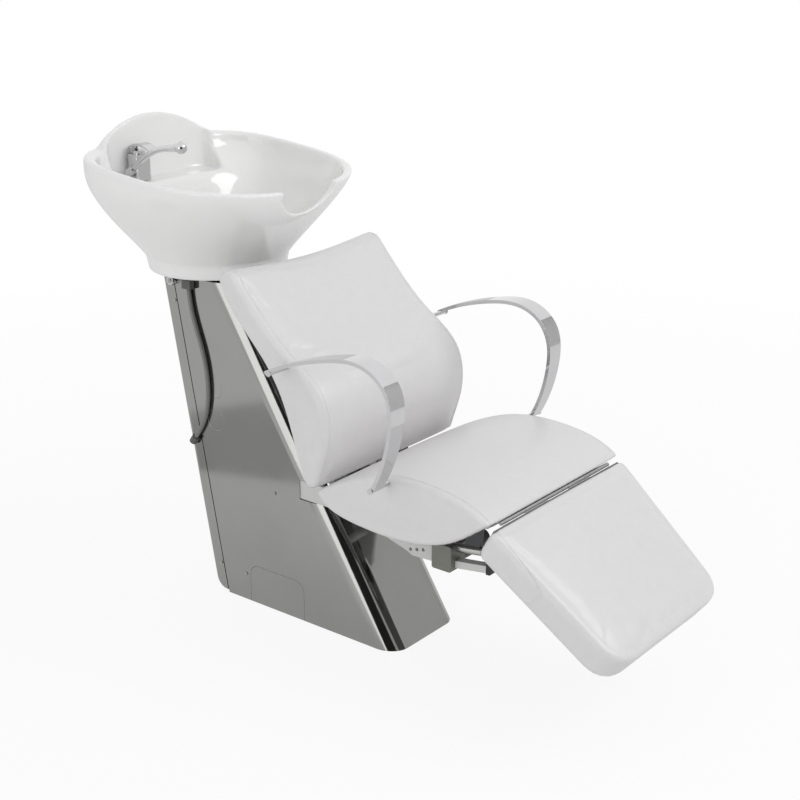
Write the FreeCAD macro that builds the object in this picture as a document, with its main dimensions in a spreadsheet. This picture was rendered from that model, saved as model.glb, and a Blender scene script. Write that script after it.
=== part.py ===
import FreeCAD, Part
import math
import os
from FreeCAD import Placement, Rotation, Vector

# Hair washing bed: leaning steel column, tilting ceramic basin, fixed seat with band
# armrests, and a driven legrest. Millimetres. Everything is drawn with y counted from
# the column's toe; the placements then move it so that the origin lies on the floor at
# the centre of the anchor holes, +Z up, the sitter facing -Y.

# Driving sizes

SIZES = {
    # column
    "column_width": 235.0,
    "column_height": 760.0,
    "column_foot": 545.0,
    "column_top_front": 477.7,
    "column_top_rear": 685.2,
    "column_bend": 45.0,
    "shell_wall": 2.0,
    "shell_rise": 1.0,
    "seam_depth": 40.0,
    "seam_gap": 0.6,
    "heel_radius": 35.0,
    "cover_corner": 12.0,
    "flap_front": 265.0,
    "flap_rear": 433.0,
    "flap_height": 96.0,
    "flap_corner": 26.0,
    "flap_gap": 0.5,
    "flap_travel": 60.0,
    # base and inner frame
    "anchor_centre": 270.0,
    "anchor_spacing_x": 140.0,
    "anchor_spacing_y": 340.0,
    "anchor_hole": 6.0,
    "base_thick": 8.0,
    "base_front": 62.0,
    "base_rear": 500.0,
    "base_side_gap": 0.4,
    "pipe_window_width": 110.0,
    "pipe_window_length": 140.0,
    "frame_thick": 6.0,
    "frame_face": 107.0,
    "cross_tube_radius": 12.5,
    "cross_tube_wall": 2.0,
    # tilt
    "tilt_y": 645.0,
    "tilt_z": 747.0,
    "tilt_pin_radius": 8.0,
    "tilt_stub_radius": 5.0,
    "tilt_running": 0.05,
    "bush_radius": 12.0,
    "bush_length": 14.0,
    "cheek_offset": 70.0,
    "cheek_thick": 6.0,
    "cheek_eye": 20.0,
    "cradle_top": 790.0,
    "knob_radius": 11.0,
    "knob_length": 11.0,
    # basin
    "foot_centre": 617.0,
    "rim_centre": 590.0,
    "foot_radius": 165.0,
    "foot_bottom": 762.0,
    "foot_ceiling": 792.0,
    "foot_wall": 12.0,
    "rim_half_width": 280.0,
    "rim_front": 280.0,
    "rim_rear": 250.0,
    "rim_front_height": 979.0,
    "rim_slope": 0.11,
    "rim_thick": 15.0,
    "lobe_crest": 1096.0,
    "lobe_drop": 78.0,
    "lobe_half_width": 190.0,
    "notch_half_width": 84.0,
    "notch_bottom": 919.0,
    "bowl_rear": 216.0,
    "bowl_floor": 816.0,
    "niche_half_width": 158.0,
    "niche_rear": 819.0,
    "niche_draft": 2.5,
    "deck_height": 951.0,
    "drain_y": 600.0,
    "drain_hole": 23.0,
    "drain_tail_radius": 20.0,
    "drain_tail_wall": 2.0,
    "drain_flange_radius": 36.0,
    "drain_flange_thick": 3.0,
    "trap_radius": 31.0,
    "trap_top": 705.0,
    "trap_height": 95.0,
    "strainer_travel": 40.0,
    # mixer
    "mixer_x": -66.0,
    "mixer_y": 796.0,
    "mixer_width": 44.0,
    "mixer_depth": 36.0,
    "mixer_height": 62.0,
    "mixer_inlet_radius": 5.0,
    "mixer_inlet_spacing": 14.0,
    "cartridge_radius": 15.0,
    "cartridge_height": 10.0,
    "lever_width": 30.0,
    "lever_reach": 54.0,
    "spray_reach": 170.0,
    "spray_rise": 74.0,
    "spray_radius": 6.5,
    "spray_head_radius": 14.0,
    # seat and backrest
    "seat_width": 490.0,
    "back_width": 488.0,
    "seat_crown": 14.0,
    "back_crown": 10.0,
    "back_dip": 17.0,
    "board_thick": 12.0,
    "board_inset": 14.0,
    "soft_gap": 0.3,
    "arm_thick": 8.0,
    "arm_top": 346.0,
    "notch_low": 303.0,
    "plate_low": 255.0,
    "plate_front": -100.0,
    "arm_rear": 440.0,
    "bolt_radius": 4.0,
    "bracket_thick": 8.0,
    "bracket_width": 30.0,
    "bracket_offset": 84.0,
    # armrests
    "armrest_outer": 300.0,
    "armrest_width": 46.0,
    "armrest_low_width": 33.0,
    "armrest_end_width": 13.0,
    "armrest_thick": 8.0,
    "taper_level": 640.0,
    "pin_radius": 5.0,
    # legrest and drive
    "hinge_y": -325.4,
    "hinge_z": 433.5,
    "hinge_pin_radius": 2.5,
    "hinge_running": 0.05,
    "knuckle_radius": 4.0,
    "hinge_length": 400.0,
    "leaf_thick": 2.0,
    "leaf_length": 38.0,
    "leg_angle": 38.0,
    "leg_length": 350.0,
    "leg_top_width": 493.0,
    "leg_low_width": 420.0,
    "leg_thick": 62.0,
    "leg_face": 7.3,
    "leg_crown": 9.0,
    "drive_offset": 95.0,
    "drive_slope": 8.0,
    "drive_depth": 112.0,
    "drive_tube_radius": 9.5,
    "drive_rod_radius": 6.0,
    "drive_running": 0.05,
    "drive_front": -235.0,
    "drive_rear": -72.0,
    "drive_pin_radius": 5.0,
    "slot_half_width": 9.0,
    "mid_angle": 6.5,
    "raise_angle": 38.0,
    "lower_angle": 25.0,
    "box_front": -150.0,
    "box_rear": -100.0,
    "box_width": 50.0,
    "box_height": 58.0,
    "motor_radius": 22.0,
    "motor_length": 96.0,
    "rail_width": 20.0,
    "rail_height": 16.0,
    # side hose
    "hose_radius": 5.2,
    "hose_stand_off": 1.3,
    "screw_head": 4.5,
    "screw_head_thick": 2.0,
    "screw_radius": 2.5,
}

doc = FreeCAD.newDocument("HairWashingBed")
sheet = doc.addObject("Spreadsheet::Sheet", "Sizes")
for row, (alias, value) in enumerate(SIZES.items(), start=1):
    sheet.set("A%d" % row, alias)
    sheet.set("B%d" % row, str(value))
    sheet.setAlias("B%d" % row, alias)
doc.recompute()


class Named:
    """The sheet's sizes as attributes."""

    def __init__(self):
        for alias in SIZES:
            setattr(self, alias, float(sheet.get(alias)))


s = Named()
parts = []
over = 20.0
X_AXIS = Vector(1, 0, 0)
Y_AXIS = Vector(0, 1, 0)
Z_AXIS = Vector(0, 0, 1)


# Drawing helpers

def keep(obj, label):
    """Take an object as a finished piece; its label names its file."""
    obj.Label = label
    parts.append(obj)
    return obj


def line(a, b):
    return Part.LineSegment(Vector(*a, 0), Vector(*b, 0))


def arc(a, via, b):
    return Part.Arc(Vector(*a, 0), Vector(*via, 0), Vector(*b, 0))


def rounded(corners):
    """Closed outline through (u, v) or (u, v, radius) corners, as lines and tangent arcs."""
    edges = []
    joints = []
    count = len(corners)
    for index, corner in enumerate(corners):
        here = Vector(corner[0], corner[1], 0)
        radius = corner[2] if len(corner) > 2 else 0.0
        before = Vector(*corners[index - 1][:2], 0) - here
        after = Vector(*corners[(index + 1) % count][:2], 0) - here
        before.normalize()
        after.normalize()
        if radius:
            half = before.getAngle(after) / 2
            reach = radius / math.tan(half)
            middle = before + after
            middle.normalize()
            centre = here + middle * (radius / math.sin(half))
            start = here + before * reach
            end = here + after * reach
            edges.append(Part.Arc(start, centre - middle * radius, end))
            joints.append((start, end))
        else:
            joints.append((here, here))
    for index in range(count):
        edges.append(Part.LineSegment(joints[index - 1][1], joints[index][0]))
    return edges


def rectangle(u0, v0, u1, v1, radius=0.0):
    corners = [(u0, v0), (u1, v0), (u1, v1), (u0, v1)]
    return rounded([corner + (radius,) for corner in corners])


def extrude(name, role, edges, length, offset=0.0, symmetric=True, back=False):
    """Body with one sketch on its own origin plane, padded by an expression of the sheet."""
    body = doc.addObject("PartDesign::Body", name)
    sketch = body.newObject("Sketcher::SketchObject", name + "_outline")
    flat = next(f for f in body.Origin.OriginFeatures if f.Role == role)
    sketch.AttachmentSupport = (flat, [""])
    sketch.MapMode = "FlatFace"
    sketch.AttachmentOffset = Placement(Vector(0, 0, offset), Rotation())
    for edge in edges:
        sketch.addGeometry(edge, False)
    pad = body.newObject("PartDesign::Pad", name + "_pad")
    pad.Profile = sketch
    pad.SideType = "Symmetric" if symmetric else "One side"
    pad.Reversed = back
    pad.setExpression("Length", length)
    body.Tip = pad
    return body


def side_body(name, edges, length, offset=0.0):
    """Outline seen from the side (y, z), padded evenly about the plane x = offset."""
    return extrude(name, "YZ_Plane", edges, length, offset)


def round_edges(body, radius, wanted):
    """Fillet the edges of a body's tip that wanted() accepts."""
    doc.recompute()
    tip = body.Tip
    names = ["Edge%d" % (i + 1) for i, edge in enumerate(tip.Shape.Edges) if wanted(edge)]
    fillet = body.newObject("PartDesign::Fillet", body.Name + "_fillet")
    fillet.Base = (tip, names)
    fillet.setExpression("Radius", radius)
    body.Tip = fillet
    return body


def box(name, low, high):
    """Block between two corners."""
    block = doc.addObject("Part::Box", name)
    block.Length = high[0] - low[0]
    block.Width = high[1] - low[1]
    block.Height = high[2] - low[2]
    block.Placement.Base = Vector(*low)
    return block


TURNS = {"x": Rotation(Y_AXIS, 90), "y": Rotation(X_AXIS, -90), "z": Rotation()}


def rod(name, axis, start, radius, length):
    """Round bar from start along an axis; radius and length are expressions or numbers."""
    bar = doc.addObject("Part::Cylinder", name)
    for key, value in (("Radius", radius), ("Height", length)):
        if isinstance(value, str):
            bar.setExpression(key, value)
        else:
            setattr(bar, key, value)
    turn = TURNS[axis] if isinstance(axis, str) else Rotation(Z_AXIS, axis)
    bar.Placement = Placement(Vector(*start), turn)
    return bar


def fuse(name, *pieces):
    joined = doc.addObject("Part::MultiFuse", name)
    joined.Shapes = list(pieces)
    joined.Refine = True
    return joined


def group(name, *pieces):
    """Separate solids kept as one node."""
    together = doc.addObject("Part::Compound", name)
    together.Links = list(pieces)
    return together


def cut(name, base, *tools):
    result = doc.addObject("Part::Cut", name)
    result.Base = base
    result.Tool = tools[0] if len(tools) == 1 else fuse(name + "_tools", *tools)
    result.Refine = True
    return result


def shaped(name, shape):
    feature = doc.addObject("Part::Feature", name)
    feature.Shape = shape
    return feature


# Column: side lines of the front, the seam and the rear

half_column = s.column_width / 2
front_slope = s.column_top_front / s.column_height
rear_slope = (s.column_top_rear - s.column_foot) / s.column_height


def front_at(z):
    return front_slope * z


def rear_at(z):
    return s.column_foot + rear_slope * z


def seam_at(z):
    return rear_at(z) - s.seam_depth


def leaning(edge):
    """True for an edge that runs up the column's front or rear line."""
    if len(edge.Vertexes) < 2:
        return False
    ends = [v.Point for v in edge.Vertexes]
    run = ends[1] - ends[0]
    return abs(run.x) < 1 and abs(run.z) > s.column_height / 2


def front_edge(edge):
    return leaning(edge) and edge.CenterOfMass.y < seam_at(edge.CenterOfMass.z) - s.column_bend


def rear_edge(edge):
    return leaning(edge) and edge.CenterOfMass.y > seam_at(edge.CenterOfMass.z) + s.seam_depth / 2


def shell_block(name, wall, low, high, width, radius):
    """Front part of the column between two heights, drawn in by a wall."""
    inner = wall * math.hypot(1, front_slope)
    corners = [(front_at(low) + inner, low), (seam_at(low) + wall, low),
               (seam_at(high) + wall, high), (front_at(high) + inner, high)]
    body = side_body(name, rounded(corners), width)
    return round_edges(body, radius, front_edge)


shell_outer = shell_block("shell_outer", 0.0, s.shell_rise, s.column_height,
                          "Sizes.column_width", "Sizes.column_bend")
shell_inner = shell_block("shell_inner", s.shell_wall, -over, s.column_height + over,
                          "Sizes.column_width - 2 * Sizes.shell_wall",
                          "Sizes.column_bend - Sizes.shell_wall")

# Screws: where the photograph shows them, on both sides

seam_screw_back = 10.0
seam_screw_heights = (699.0, 377.0, 72.0)
side_screws = [(seam_at(z) + seam_screw_back, z) for z in seam_screw_heights]
arm_screw = (348.0, 296.0)
flap_screw = (s.flap_rear + 14.0, 67.0)
side_screws += [arm_screw, flap_screw]


def across(name, spot, radius, clear=0.0):
    """Bar right through the column at a side spot."""
    start = (-half_column - over, spot[0], spot[1])
    return rod(name, "x", start, radius + clear, s.column_width + 2 * over)


screw_holes = [across("screw_hole_%d" % i, spot, s.screw_radius, s.tilt_running)
               for i, spot in enumerate(side_screws)]
notch_top = s.arm_top + 1.0
notch_rear = front_at(notch_top) + s.column_bend + 8.0
arm_notches = [box("arm_notch_%d" % side,
                   (min(side * (half_column + over), side * (s.frame_face - 1.0)), 0, s.notch_low - 1.0),
                   (max(side * (half_column + over), side * (s.frame_face - 1.0)), notch_rear, notch_top))
               for side in (-1, 1)]
flap_opening = extrude("flap_opening", "YZ_Plane",
                       rounded([(s.flap_front, -over), (s.flap_rear, -over),
                                (s.flap_rear, s.flap_height, s.flap_corner),
                                (s.flap_front, s.flap_height, s.flap_corner)]),
                       "4 * Sizes.shell_wall", -half_column)
pin_hole = across("pin_hole", (s.tilt_y, s.tilt_z), s.tilt_pin_radius, s.tilt_running)
column_shell = keep(cut("shell_cut", shell_outer, shell_inner, *screw_holes, *arm_notches,
                        flap_opening, pin_hole), "column_shell")

# Rear cover: shallow channel that closes the column behind the seam

seam_start = s.seam_gap
cover_corners = [(seam_at(s.shell_rise) + s.shell_wall + seam_start, s.shell_rise),
                 (rear_at(s.shell_rise), s.shell_rise, s.heel_radius),
                 (rear_at(s.column_height), s.column_height),
                 (seam_at(s.column_height) + s.shell_wall + seam_start, s.column_height)]
cover_outer = side_body("cover_outer", rounded(cover_corners), "Sizes.column_width")
round_edges(cover_outer, "Sizes.cover_corner", rear_edge)
cover_floor = s.shell_rise + s.shell_wall
cover_inner = side_body("cover_inner", rounded([
    (seam_at(cover_floor) - over, cover_floor),
    (rear_at(cover_floor) - s.shell_wall, cover_floor, s.heel_radius - s.shell_wall),
    (rear_at(s.column_height + over) - s.shell_wall, s.column_height + over),
    (seam_at(s.column_height + over) - over, s.column_height + over)]),
    "Sizes.column_width - 2 * Sizes.shell_wall")
round_edges(cover_inner, "Sizes.cover_corner - Sizes.shell_wall", rear_edge)
cover_holes = [across("cover_hole_%d" % i, spot, s.screw_radius, s.tilt_running)
               for i, spot in enumerate(side_screws[:3])]
cover_pin_hole = across("cover_pin_hole", (s.tilt_y, s.tilt_z), s.tilt_pin_radius, s.tilt_running)
rear_cover = keep(cut("cover_cut", cover_outer, cover_inner, *cover_holes, cover_pin_hole), "rear_cover")

# Inspection flap, pulled out sideways

flap = extrude("flap_plate", "YZ_Plane",
               rounded([(s.flap_front + s.flap_gap, s.shell_rise),
                        (s.flap_rear - s.flap_gap, s.shell_rise),
                        (s.flap_rear - s.flap_gap, s.flap_height - s.flap_gap, s.flap_corner),
                        (s.flap_front + s.flap_gap, s.flap_height - s.flap_gap, s.flap_corner)]),
               "Sizes.shell_wall", -half_column + s.shell_wall / 2)
keep(flap, "inspection_flap")

# Base plate with anchor holes and the window for the pipes

half_base = half_column - s.shell_wall - s.base_side_gap
base_blank = extrude("base_blank", "XY_Plane",
                     rectangle(-half_base, s.base_front, half_base, s.base_rear, s.shell_wall),
                     "Sizes.base_thick", symmetric=False)
anchors = [rod("anchor_%d%d" % (i, j), "z",
               (i * s.anchor_spacing_x / 2, s.anchor_centre + j * s.anchor_spacing_y / 2, -over),
               "Sizes.anchor_hole", 3 * over) for i in (-1, 1) for j in (-1, 1)]
window = extrude("pipe_window", "XY_Plane",
                 rectangle(-s.pipe_window_width / 2, s.anchor_centre - s.pipe_window_length / 2,
                           s.pipe_window_width / 2, s.anchor_centre + s.pipe_window_length / 2,
                           s.flap_corner),
                 "4 * Sizes.base_thick")
keep(cut("base_cut", base_blank, window, *anchors), "base_plate")

# Inner frame plates: one each side, from the base plate to the tilt pin

frame_front = s.base_front + 26.0
frame_rear = s.base_rear - 20.0
frame_top = s.tilt_z + 17.0
frame_in = s.column_bend + 18.0
frame_corners = [
    (frame_front, s.base_thick), (frame_rear, s.base_thick),
    (s.tilt_y + 20.0, s.tilt_z - 40.0), (s.tilt_y + 20.0, frame_top, 14.0),
    (s.tilt_y - 60.0, frame_top, 14.0), (front_at(420.0) + frame_in, 420.0),
    (front_at(120.0) + frame_in, 120.0)]
frame_windows = [
    [(180.0, 50.0), (330.0, 50.0), (330.0, 180.0), (262.0, 180.0)],
    [(372.0, 50.0), (440.0, 50.0), (460.0, 200.0), (372.0, 200.0)],
    [(402.0, 390.0), (515.0, 390.0), (530.0, 500.0), (450.0, 500.0)],
    [(470.0, 545.0), (560.0, 545.0), (600.0, 660.0), (545.0, 660.0)]]
cross_spots = [(352.0, 120.0), (460.0, 345.0), (585.0, 500.0)]
for side, word in ((-1, "right"), (1, "left")):
    centre = side * (s.frame_face - s.frame_thick / 2)
    plate = side_body("frame_blank_" + word, rounded(frame_corners), "Sizes.frame_thick", centre)
    holes = [side_body("frame_window_%s_%d" % (word, i),
                       rounded([corner + (12.0,) for corner in corners]),
                       "3 * Sizes.frame_thick", centre)
             for i, corners in enumerate(frame_windows)]
    bore = across("frame_bore_" + word, (s.tilt_y, s.tilt_z), s.tilt_pin_radius)
    tapped = [across("frame_tap_%s_%d" % (word, i), spot, s.screw_radius, s.tilt_running)
              for i, spot in enumerate(side_screws)]
    bolts = [across("frame_bolt_%s_%d" % (word, i), spot, s.bolt_radius)
             for i, spot in enumerate(((380.0, 325.0), (420.0, 325.0)))]
    keep(cut("frame_cut_" + word, plate, bore, *holes, *tapped, *bolts), "frame_plate_" + word)

frame_inner_face = s.frame_face - s.frame_thick
tubes = []
for index, (y, z) in enumerate(cross_spots):
    start = (-frame_inner_face, y, z)
    outer = rod("cross_outer_%d" % index, "x", start, "Sizes.cross_tube_radius", 2 * frame_inner_face)
    inner = rod("cross_bore_%d" % index, "x", (start[0] - over, y, z),
                "Sizes.cross_tube_radius - Sizes.cross_tube_wall", 2 * (frame_inner_face + over))
    tubes.append(cut("cross_tube_%d" % index, outer, inner))
keep(group("cross_tube_group", *tubes), "frame_cross_tubes")


# Tilt pin with its stub, bushes, cradle, lock knob

outside = half_column + s.flap_gap
tilt = (s.tilt_y, s.tilt_z)
pin_end = s.frame_face + s.shell_wall
shaft = rod("tilt_shaft", "x", (-outside, *tilt), "Sizes.tilt_pin_radius", outside + pin_end)
stub_length = s.knob_length + s.shell_wall
stub = rod("tilt_stub", "x", (-outside - stub_length, *tilt), "Sizes.tilt_stub_radius", stub_length)
keep(fuse("tilt_pin_fuse", shaft, stub), "tilt_pin")

knob_inner = -outside - s.flap_gap
knob_blank = rod("knob_blank", "x", (knob_inner - s.knob_length, *tilt), "Sizes.knob_radius",
                 "Sizes.knob_length")
knob_bore = rod("knob_bore", "x", (knob_inner - s.knob_length - over, *tilt),
                "Sizes.tilt_stub_radius + Sizes.tilt_running", s.knob_length + 2 * over)
groove_radius = s.knob_radius / 7
grooves = [rod("knob_groove_%d" % i, "x",
               (knob_inner - s.knob_length - over,
                s.tilt_y + s.knob_radius * math.cos(i * math.pi / 4),
                s.tilt_z + s.knob_radius * math.sin(i * math.pi / 4)),
               groove_radius, s.knob_length + 2 * over) for i in range(8)]
keep(cut("knob_cut", knob_blank, knob_bore, *grooves), "tilt_lock_knob")

bushes = []
for side in (-1, 1):
    start = side * s.cheek_offset - s.bush_length / 2
    outer = rod("bush_outer_%d" % side, "x", (start, *tilt), "Sizes.bush_radius", "Sizes.bush_length")
    bore = rod("bush_bore_%d" % side, "x", (start - over, *tilt),
               "Sizes.tilt_pin_radius + Sizes.tilt_running", s.bush_length + 2 * over)
    bushes.append(cut("bush_%d" % side, outer, bore))
keep(group("bush_group", *bushes), "tilt_bushes")

cradle_front = s.tilt_y - 100.0
cradle_rear = s.tilt_y + 35.0
cradle_half = s.cheek_offset + 20.0
plate_thick = s.cheek_thick
plate_under = s.cradle_top - plate_thick
cheeks = []
for side in (-1, 1):
    outline = rounded([
        (s.tilt_y - s.cheek_eye, s.tilt_z - s.cheek_eye, s.cheek_eye - plate_thick),
        (s.tilt_y + s.cheek_eye, s.tilt_z - s.cheek_eye, s.cheek_eye - plate_thick),
        (cradle_rear, plate_under), (cradle_front, plate_under)])
    cheeks.append(side_body("cheek_%d" % side, outline, "Sizes.cheek_thick", side * s.cheek_offset))
top_plate = box("cradle_plate", (-cradle_half, cradle_front, plate_under),
                (cradle_half, cradle_rear, s.cradle_top))
cradle_hole = rod("cradle_hole", "z", (0, s.drain_y, plate_under - over),
                  s.drain_flange_radius - plate_thick / 3, 3 * over)
bush_seat = across("bush_seat", tilt, s.bush_radius)
bolt_spots = [(x * s.cheek_offset * 1.15, y) for x in (-1, 1)
              for y in (cradle_front + 20.0, cradle_rear - 20.0)]
bolt_holes = [rod("cradle_bolt_hole_%d" % i, "z", (x, y, plate_under - over), "Sizes.bolt_radius",
                  3 * over) for i, (x, y) in enumerate(bolt_spots)]
cradle = keep(cut("cradle_cut", fuse("cradle_fuse", *cheeks, top_plate), cradle_hole, bush_seat,
                  *bolt_holes), "basin_cradle")
pad_blank = box("pad_blank", (-cradle_half, cradle_front, s.cradle_top),
                (cradle_half, cradle_rear, s.foot_ceiling))
pad_hole = rod("pad_hole", "z", (0, s.drain_y, plate_under), s.drain_flange_radius - plate_thick / 3,
               2 * over)
pad_bolts = [rod("pad_bolt_hole_%d" % i, "z", (x, y, plate_under), "Sizes.bolt_radius", 2 * over)
             for i, (x, y) in enumerate(bolt_spots)]
keep(cut("pad_cut", pad_blank, pad_hole, *pad_bolts), "basin_rubber_pad")

bolt_head = 1.6 * s.bolt_radius
bolt_bite = 10.0
basin_bolts = []
for i, (x, y) in enumerate(bolt_spots):
    shank = rod("basin_bolt_%d" % i, "z", (x, y, plate_under), "Sizes.bolt_radius",
                s.foot_ceiling - plate_under + bolt_bite)
    head = rod("basin_bolt_head_%d" % i, "z", (x, y, plate_under - s.bolt_radius), bolt_head,
               "Sizes.bolt_radius")
    basin_bolts.append(fuse("basin_bolt_fuse_%d" % i, shank, head))
keep(group("basin_bolt_group", *basin_bolts), "basin_bolts")

# Basin: lofted outside, bowl and tap niche cut from it, rim trimmed by a sloping plane
# with a raised lobe at the back, neck notch through the front, hollow foot

PLAN_STEPS = 13
foot_top = s.foot_ceiling + 8.0
rim_level = 1000.0
swell_shares = ((0.0, 0.0, 0.0), (0.26, 0.315, 0.49), (0.46, 0.57, 0.77), (0.67, 0.81, 0.92),
                (0.85, 0.96, 0.985), (1.0, 1.0, 1.0), (1.5, 1.0, 1.0))
bowl_shares = ((0.0, 0.20, 0.20), (0.06, 0.42, 0.40), (0.16, 0.62, 0.55), (0.34, 0.765, 0.64),
               (0.55, 0.87, 0.68), (0.7, 0.92, 0.735), (0.85, 0.965, 0.84), (1.0, 0.99, 0.945),
               (1.15, 1.0, 0.99), (1.35, 1.0, 1.0), (1.6, 1.0, 1.0))
front_power = 2.4
rear_power = 3.5


def blend(a, b, share):
    return a + (b - a) * share


def closed_curve(points, knots):
    """Smooth closed wire through points, all sections of a loft sharing the same knots."""
    curve = Part.BSplineCurve()
    curve.interpolate(Points=points, PeriodicFlag=True, Parameters=knots)
    return Part.Wire([curve.toShape()])


def plan_points(share):
    """Unit plan curve, an ellipse at share 0 that grows blunt, most of all at the rear."""
    points = []
    for step in range(2 * PLAN_STEPS):
        turn = math.pi * (step + 0.5) / PLAN_STEPS
        c = math.cos(turn)
        n = math.sin(turn)
        power = blend(2.0, rear_power if n > 0 else front_power, share)
        reach = (abs(c) ** power + abs(n) ** power) ** (-1 / power)
        points.append((c * reach, n * reach))
    return points


plan_knots = [0.0]
fullest = plan_points(1.0)
for a, b in zip(fullest, fullest[1:] + fullest[:1]):
    plan_knots.append(plan_knots[-1] + math.dist(a, b))


def egg(z, centre, half_width, front, rear, share):
    """Closed plan curve at a height."""
    return closed_curve([Vector(half_width * x, centre + (rear if y > 0 else front) * y, z)
                         for x, y in plan_points(share)], plan_knots)


outer_wires = []
foot_swell = s.foot_radius + 2.0
for height, swell, back in swell_shares:
    share = min(height, 1.0)
    outer_wires.append(egg(blend(foot_top, rim_level, height),
                           blend(s.foot_centre, s.rim_centre, share),
                           blend(foot_swell, s.rim_half_width, swell),
                           blend(foot_swell, s.rim_front, swell),
                           blend(foot_swell, s.rim_rear, back), share))
basin_outer = shaped("basin_outer", Part.makeLoft(outer_wires, True, False))

foot_step = 1.5
foot_cone = doc.addObject("Part::Cone", "foot_cone")
foot_cone.Radius1 = s.foot_radius - 6.0
foot_cone.Radius2 = foot_swell - foot_step
foot_cone.Height = foot_top - s.foot_bottom
foot_cone.Placement.Base = Vector(0, s.foot_centre, s.foot_bottom)

bowl_wires = []
for height, swell, back in bowl_shares:
    share = min(height, 1.0)
    bowl_wires.append(egg(blend(s.bowl_floor, rim_level, height),
                          blend(s.drain_y, s.rim_centre, share),
                          swell * (s.rim_half_width - s.rim_thick),
                          swell * (s.rim_front - s.rim_thick),
                          back * s.bowl_rear, share))
bowl_cutter = shaped("bowl_cutter", Part.makeLoft(bowl_wires, True, False))

niche_centre = s.rim_centre + s.bowl_rear * 0.85
niche_reach = s.niche_rear - niche_centre
niche_wires = [egg(z, niche_centre, s.niche_half_width + grow, niche_reach * 2,
                   niche_reach + grow, 1.0)
               for z, grow in ((s.deck_height, -s.niche_draft), (rim_level, s.niche_draft),
                               (rim_level + s.lobe_drop + over, s.niche_draft))]
niche_cutter = shaped("niche_cutter", Part.makeLoft(niche_wires, True, False))


def rim_at(y):
    """Height of the rim's sloping plane."""
    return s.rim_front_height + s.rim_slope * (y - (s.rim_centre - s.rim_front))


rim_reach = s.rim_centre + s.rim_rear + over
plane_body = side_body("rim_plane", rounded([
    (0, s.foot_bottom - over), (rim_reach, s.foot_bottom - over),
    (rim_reach, rim_at(rim_reach)), (0, rim_at(0))]), "3 * Sizes.rim_half_width")
lobe_start = niche_centre
lobe_end = s.lobe_crest - s.lobe_drop
lobe_low = lobe_end - 4 * over
lobe_edges = [
    Part.Arc(Vector(-s.lobe_half_width, lobe_start, lobe_end),
             Vector(0, lobe_start, s.lobe_crest),
             Vector(s.lobe_half_width, lobe_start, lobe_end)).toShape(),
    Part.makeLine(Vector(s.lobe_half_width, lobe_start, lobe_end),
                  Vector(s.lobe_half_width, lobe_start, lobe_low)),
    Part.makeLine(Vector(s.lobe_half_width, lobe_start, lobe_low),
                  Vector(-s.lobe_half_width, lobe_start, lobe_low)),
    Part.makeLine(Vector(-s.lobe_half_width, lobe_start, lobe_low),
                  Vector(-s.lobe_half_width, lobe_start, lobe_end))]
lobe = shaped("rim_lobe", Part.Face(Part.Wire(lobe_edges)).extrude(Vector(0, rim_reach - lobe_start, 0)))
rim_limit = fuse("rim_limit", plane_body, lobe)
basin_full = fuse("basin_full", basin_outer, foot_cone)
basin_trimmed = doc.addObject("Part::Common", "basin_trimmed")
basin_trimmed.Base = basin_full
basin_trimmed.Tool = rim_limit

notch_shoulder = 0.54
notch_side = blend(s.notch_bottom, rim_level, notch_shoulder)
notch_roof = rim_level + 4 * over
notch_from = s.rim_centre - s.rim_front - 2 * over
notch = extrude("neck_notch", "XZ_Plane", [
    arc((-s.notch_half_width, notch_side), (0, s.notch_bottom), (s.notch_half_width, notch_side)),
    line((s.notch_half_width, notch_side), (s.notch_half_width, notch_roof)),
    line((s.notch_half_width, notch_roof), (-s.notch_half_width, notch_roof)),
    line((-s.notch_half_width, notch_roof), (-s.notch_half_width, notch_side))],
    "Sizes.rim_front * 0.6", -notch_from, False, True)
foot_hollow = rod("foot_hollow", "z", (0, s.foot_centre, s.foot_bottom - over),
                  "Sizes.foot_radius - Sizes.foot_wall", s.foot_ceiling - s.foot_bottom + over)
drain_bore = rod("drain_bore", "z", (0, s.drain_y, s.foot_bottom), "Sizes.drain_hole", 6 * over)
drain_seat_depth = s.drain_flange_thick
drain_seat = rod("drain_seat", "z", (0, s.drain_y, s.bowl_floor - drain_seat_depth),
                 "Sizes.drain_flange_radius + Sizes.soft_gap", 3 * over)
shank_radius = 14.0
shank_clear = shank_radius + s.soft_gap
nut_radius = 19.0
nut_top = s.deck_height - 18.0
mixer_bore = rod("mixer_bore", "z", (s.mixer_x, s.mixer_y, s.foot_ceiling), shank_clear, 10 * over)
nut_recess = rod("nut_recess", "z", (s.mixer_x, s.mixer_y, s.foot_ceiling), nut_radius + 3.0,
                 nut_top - s.foot_ceiling)
blind_holes = [rod("basin_blind_%d" % i, "z", (x, y, s.foot_ceiling - over), "Sizes.bolt_radius",
                   over + bolt_bite) for i, (x, y) in enumerate(bolt_spots)]
keep(cut("basin_cut", basin_trimmed, bowl_cutter, niche_cutter, notch, foot_hollow, drain_bore,
         drain_seat, mixer_bore, nut_recess, *blind_holes), "basin_bowl")

# Drain: flange with its tail, lift-out strainer, nut, bottle trap

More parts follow.
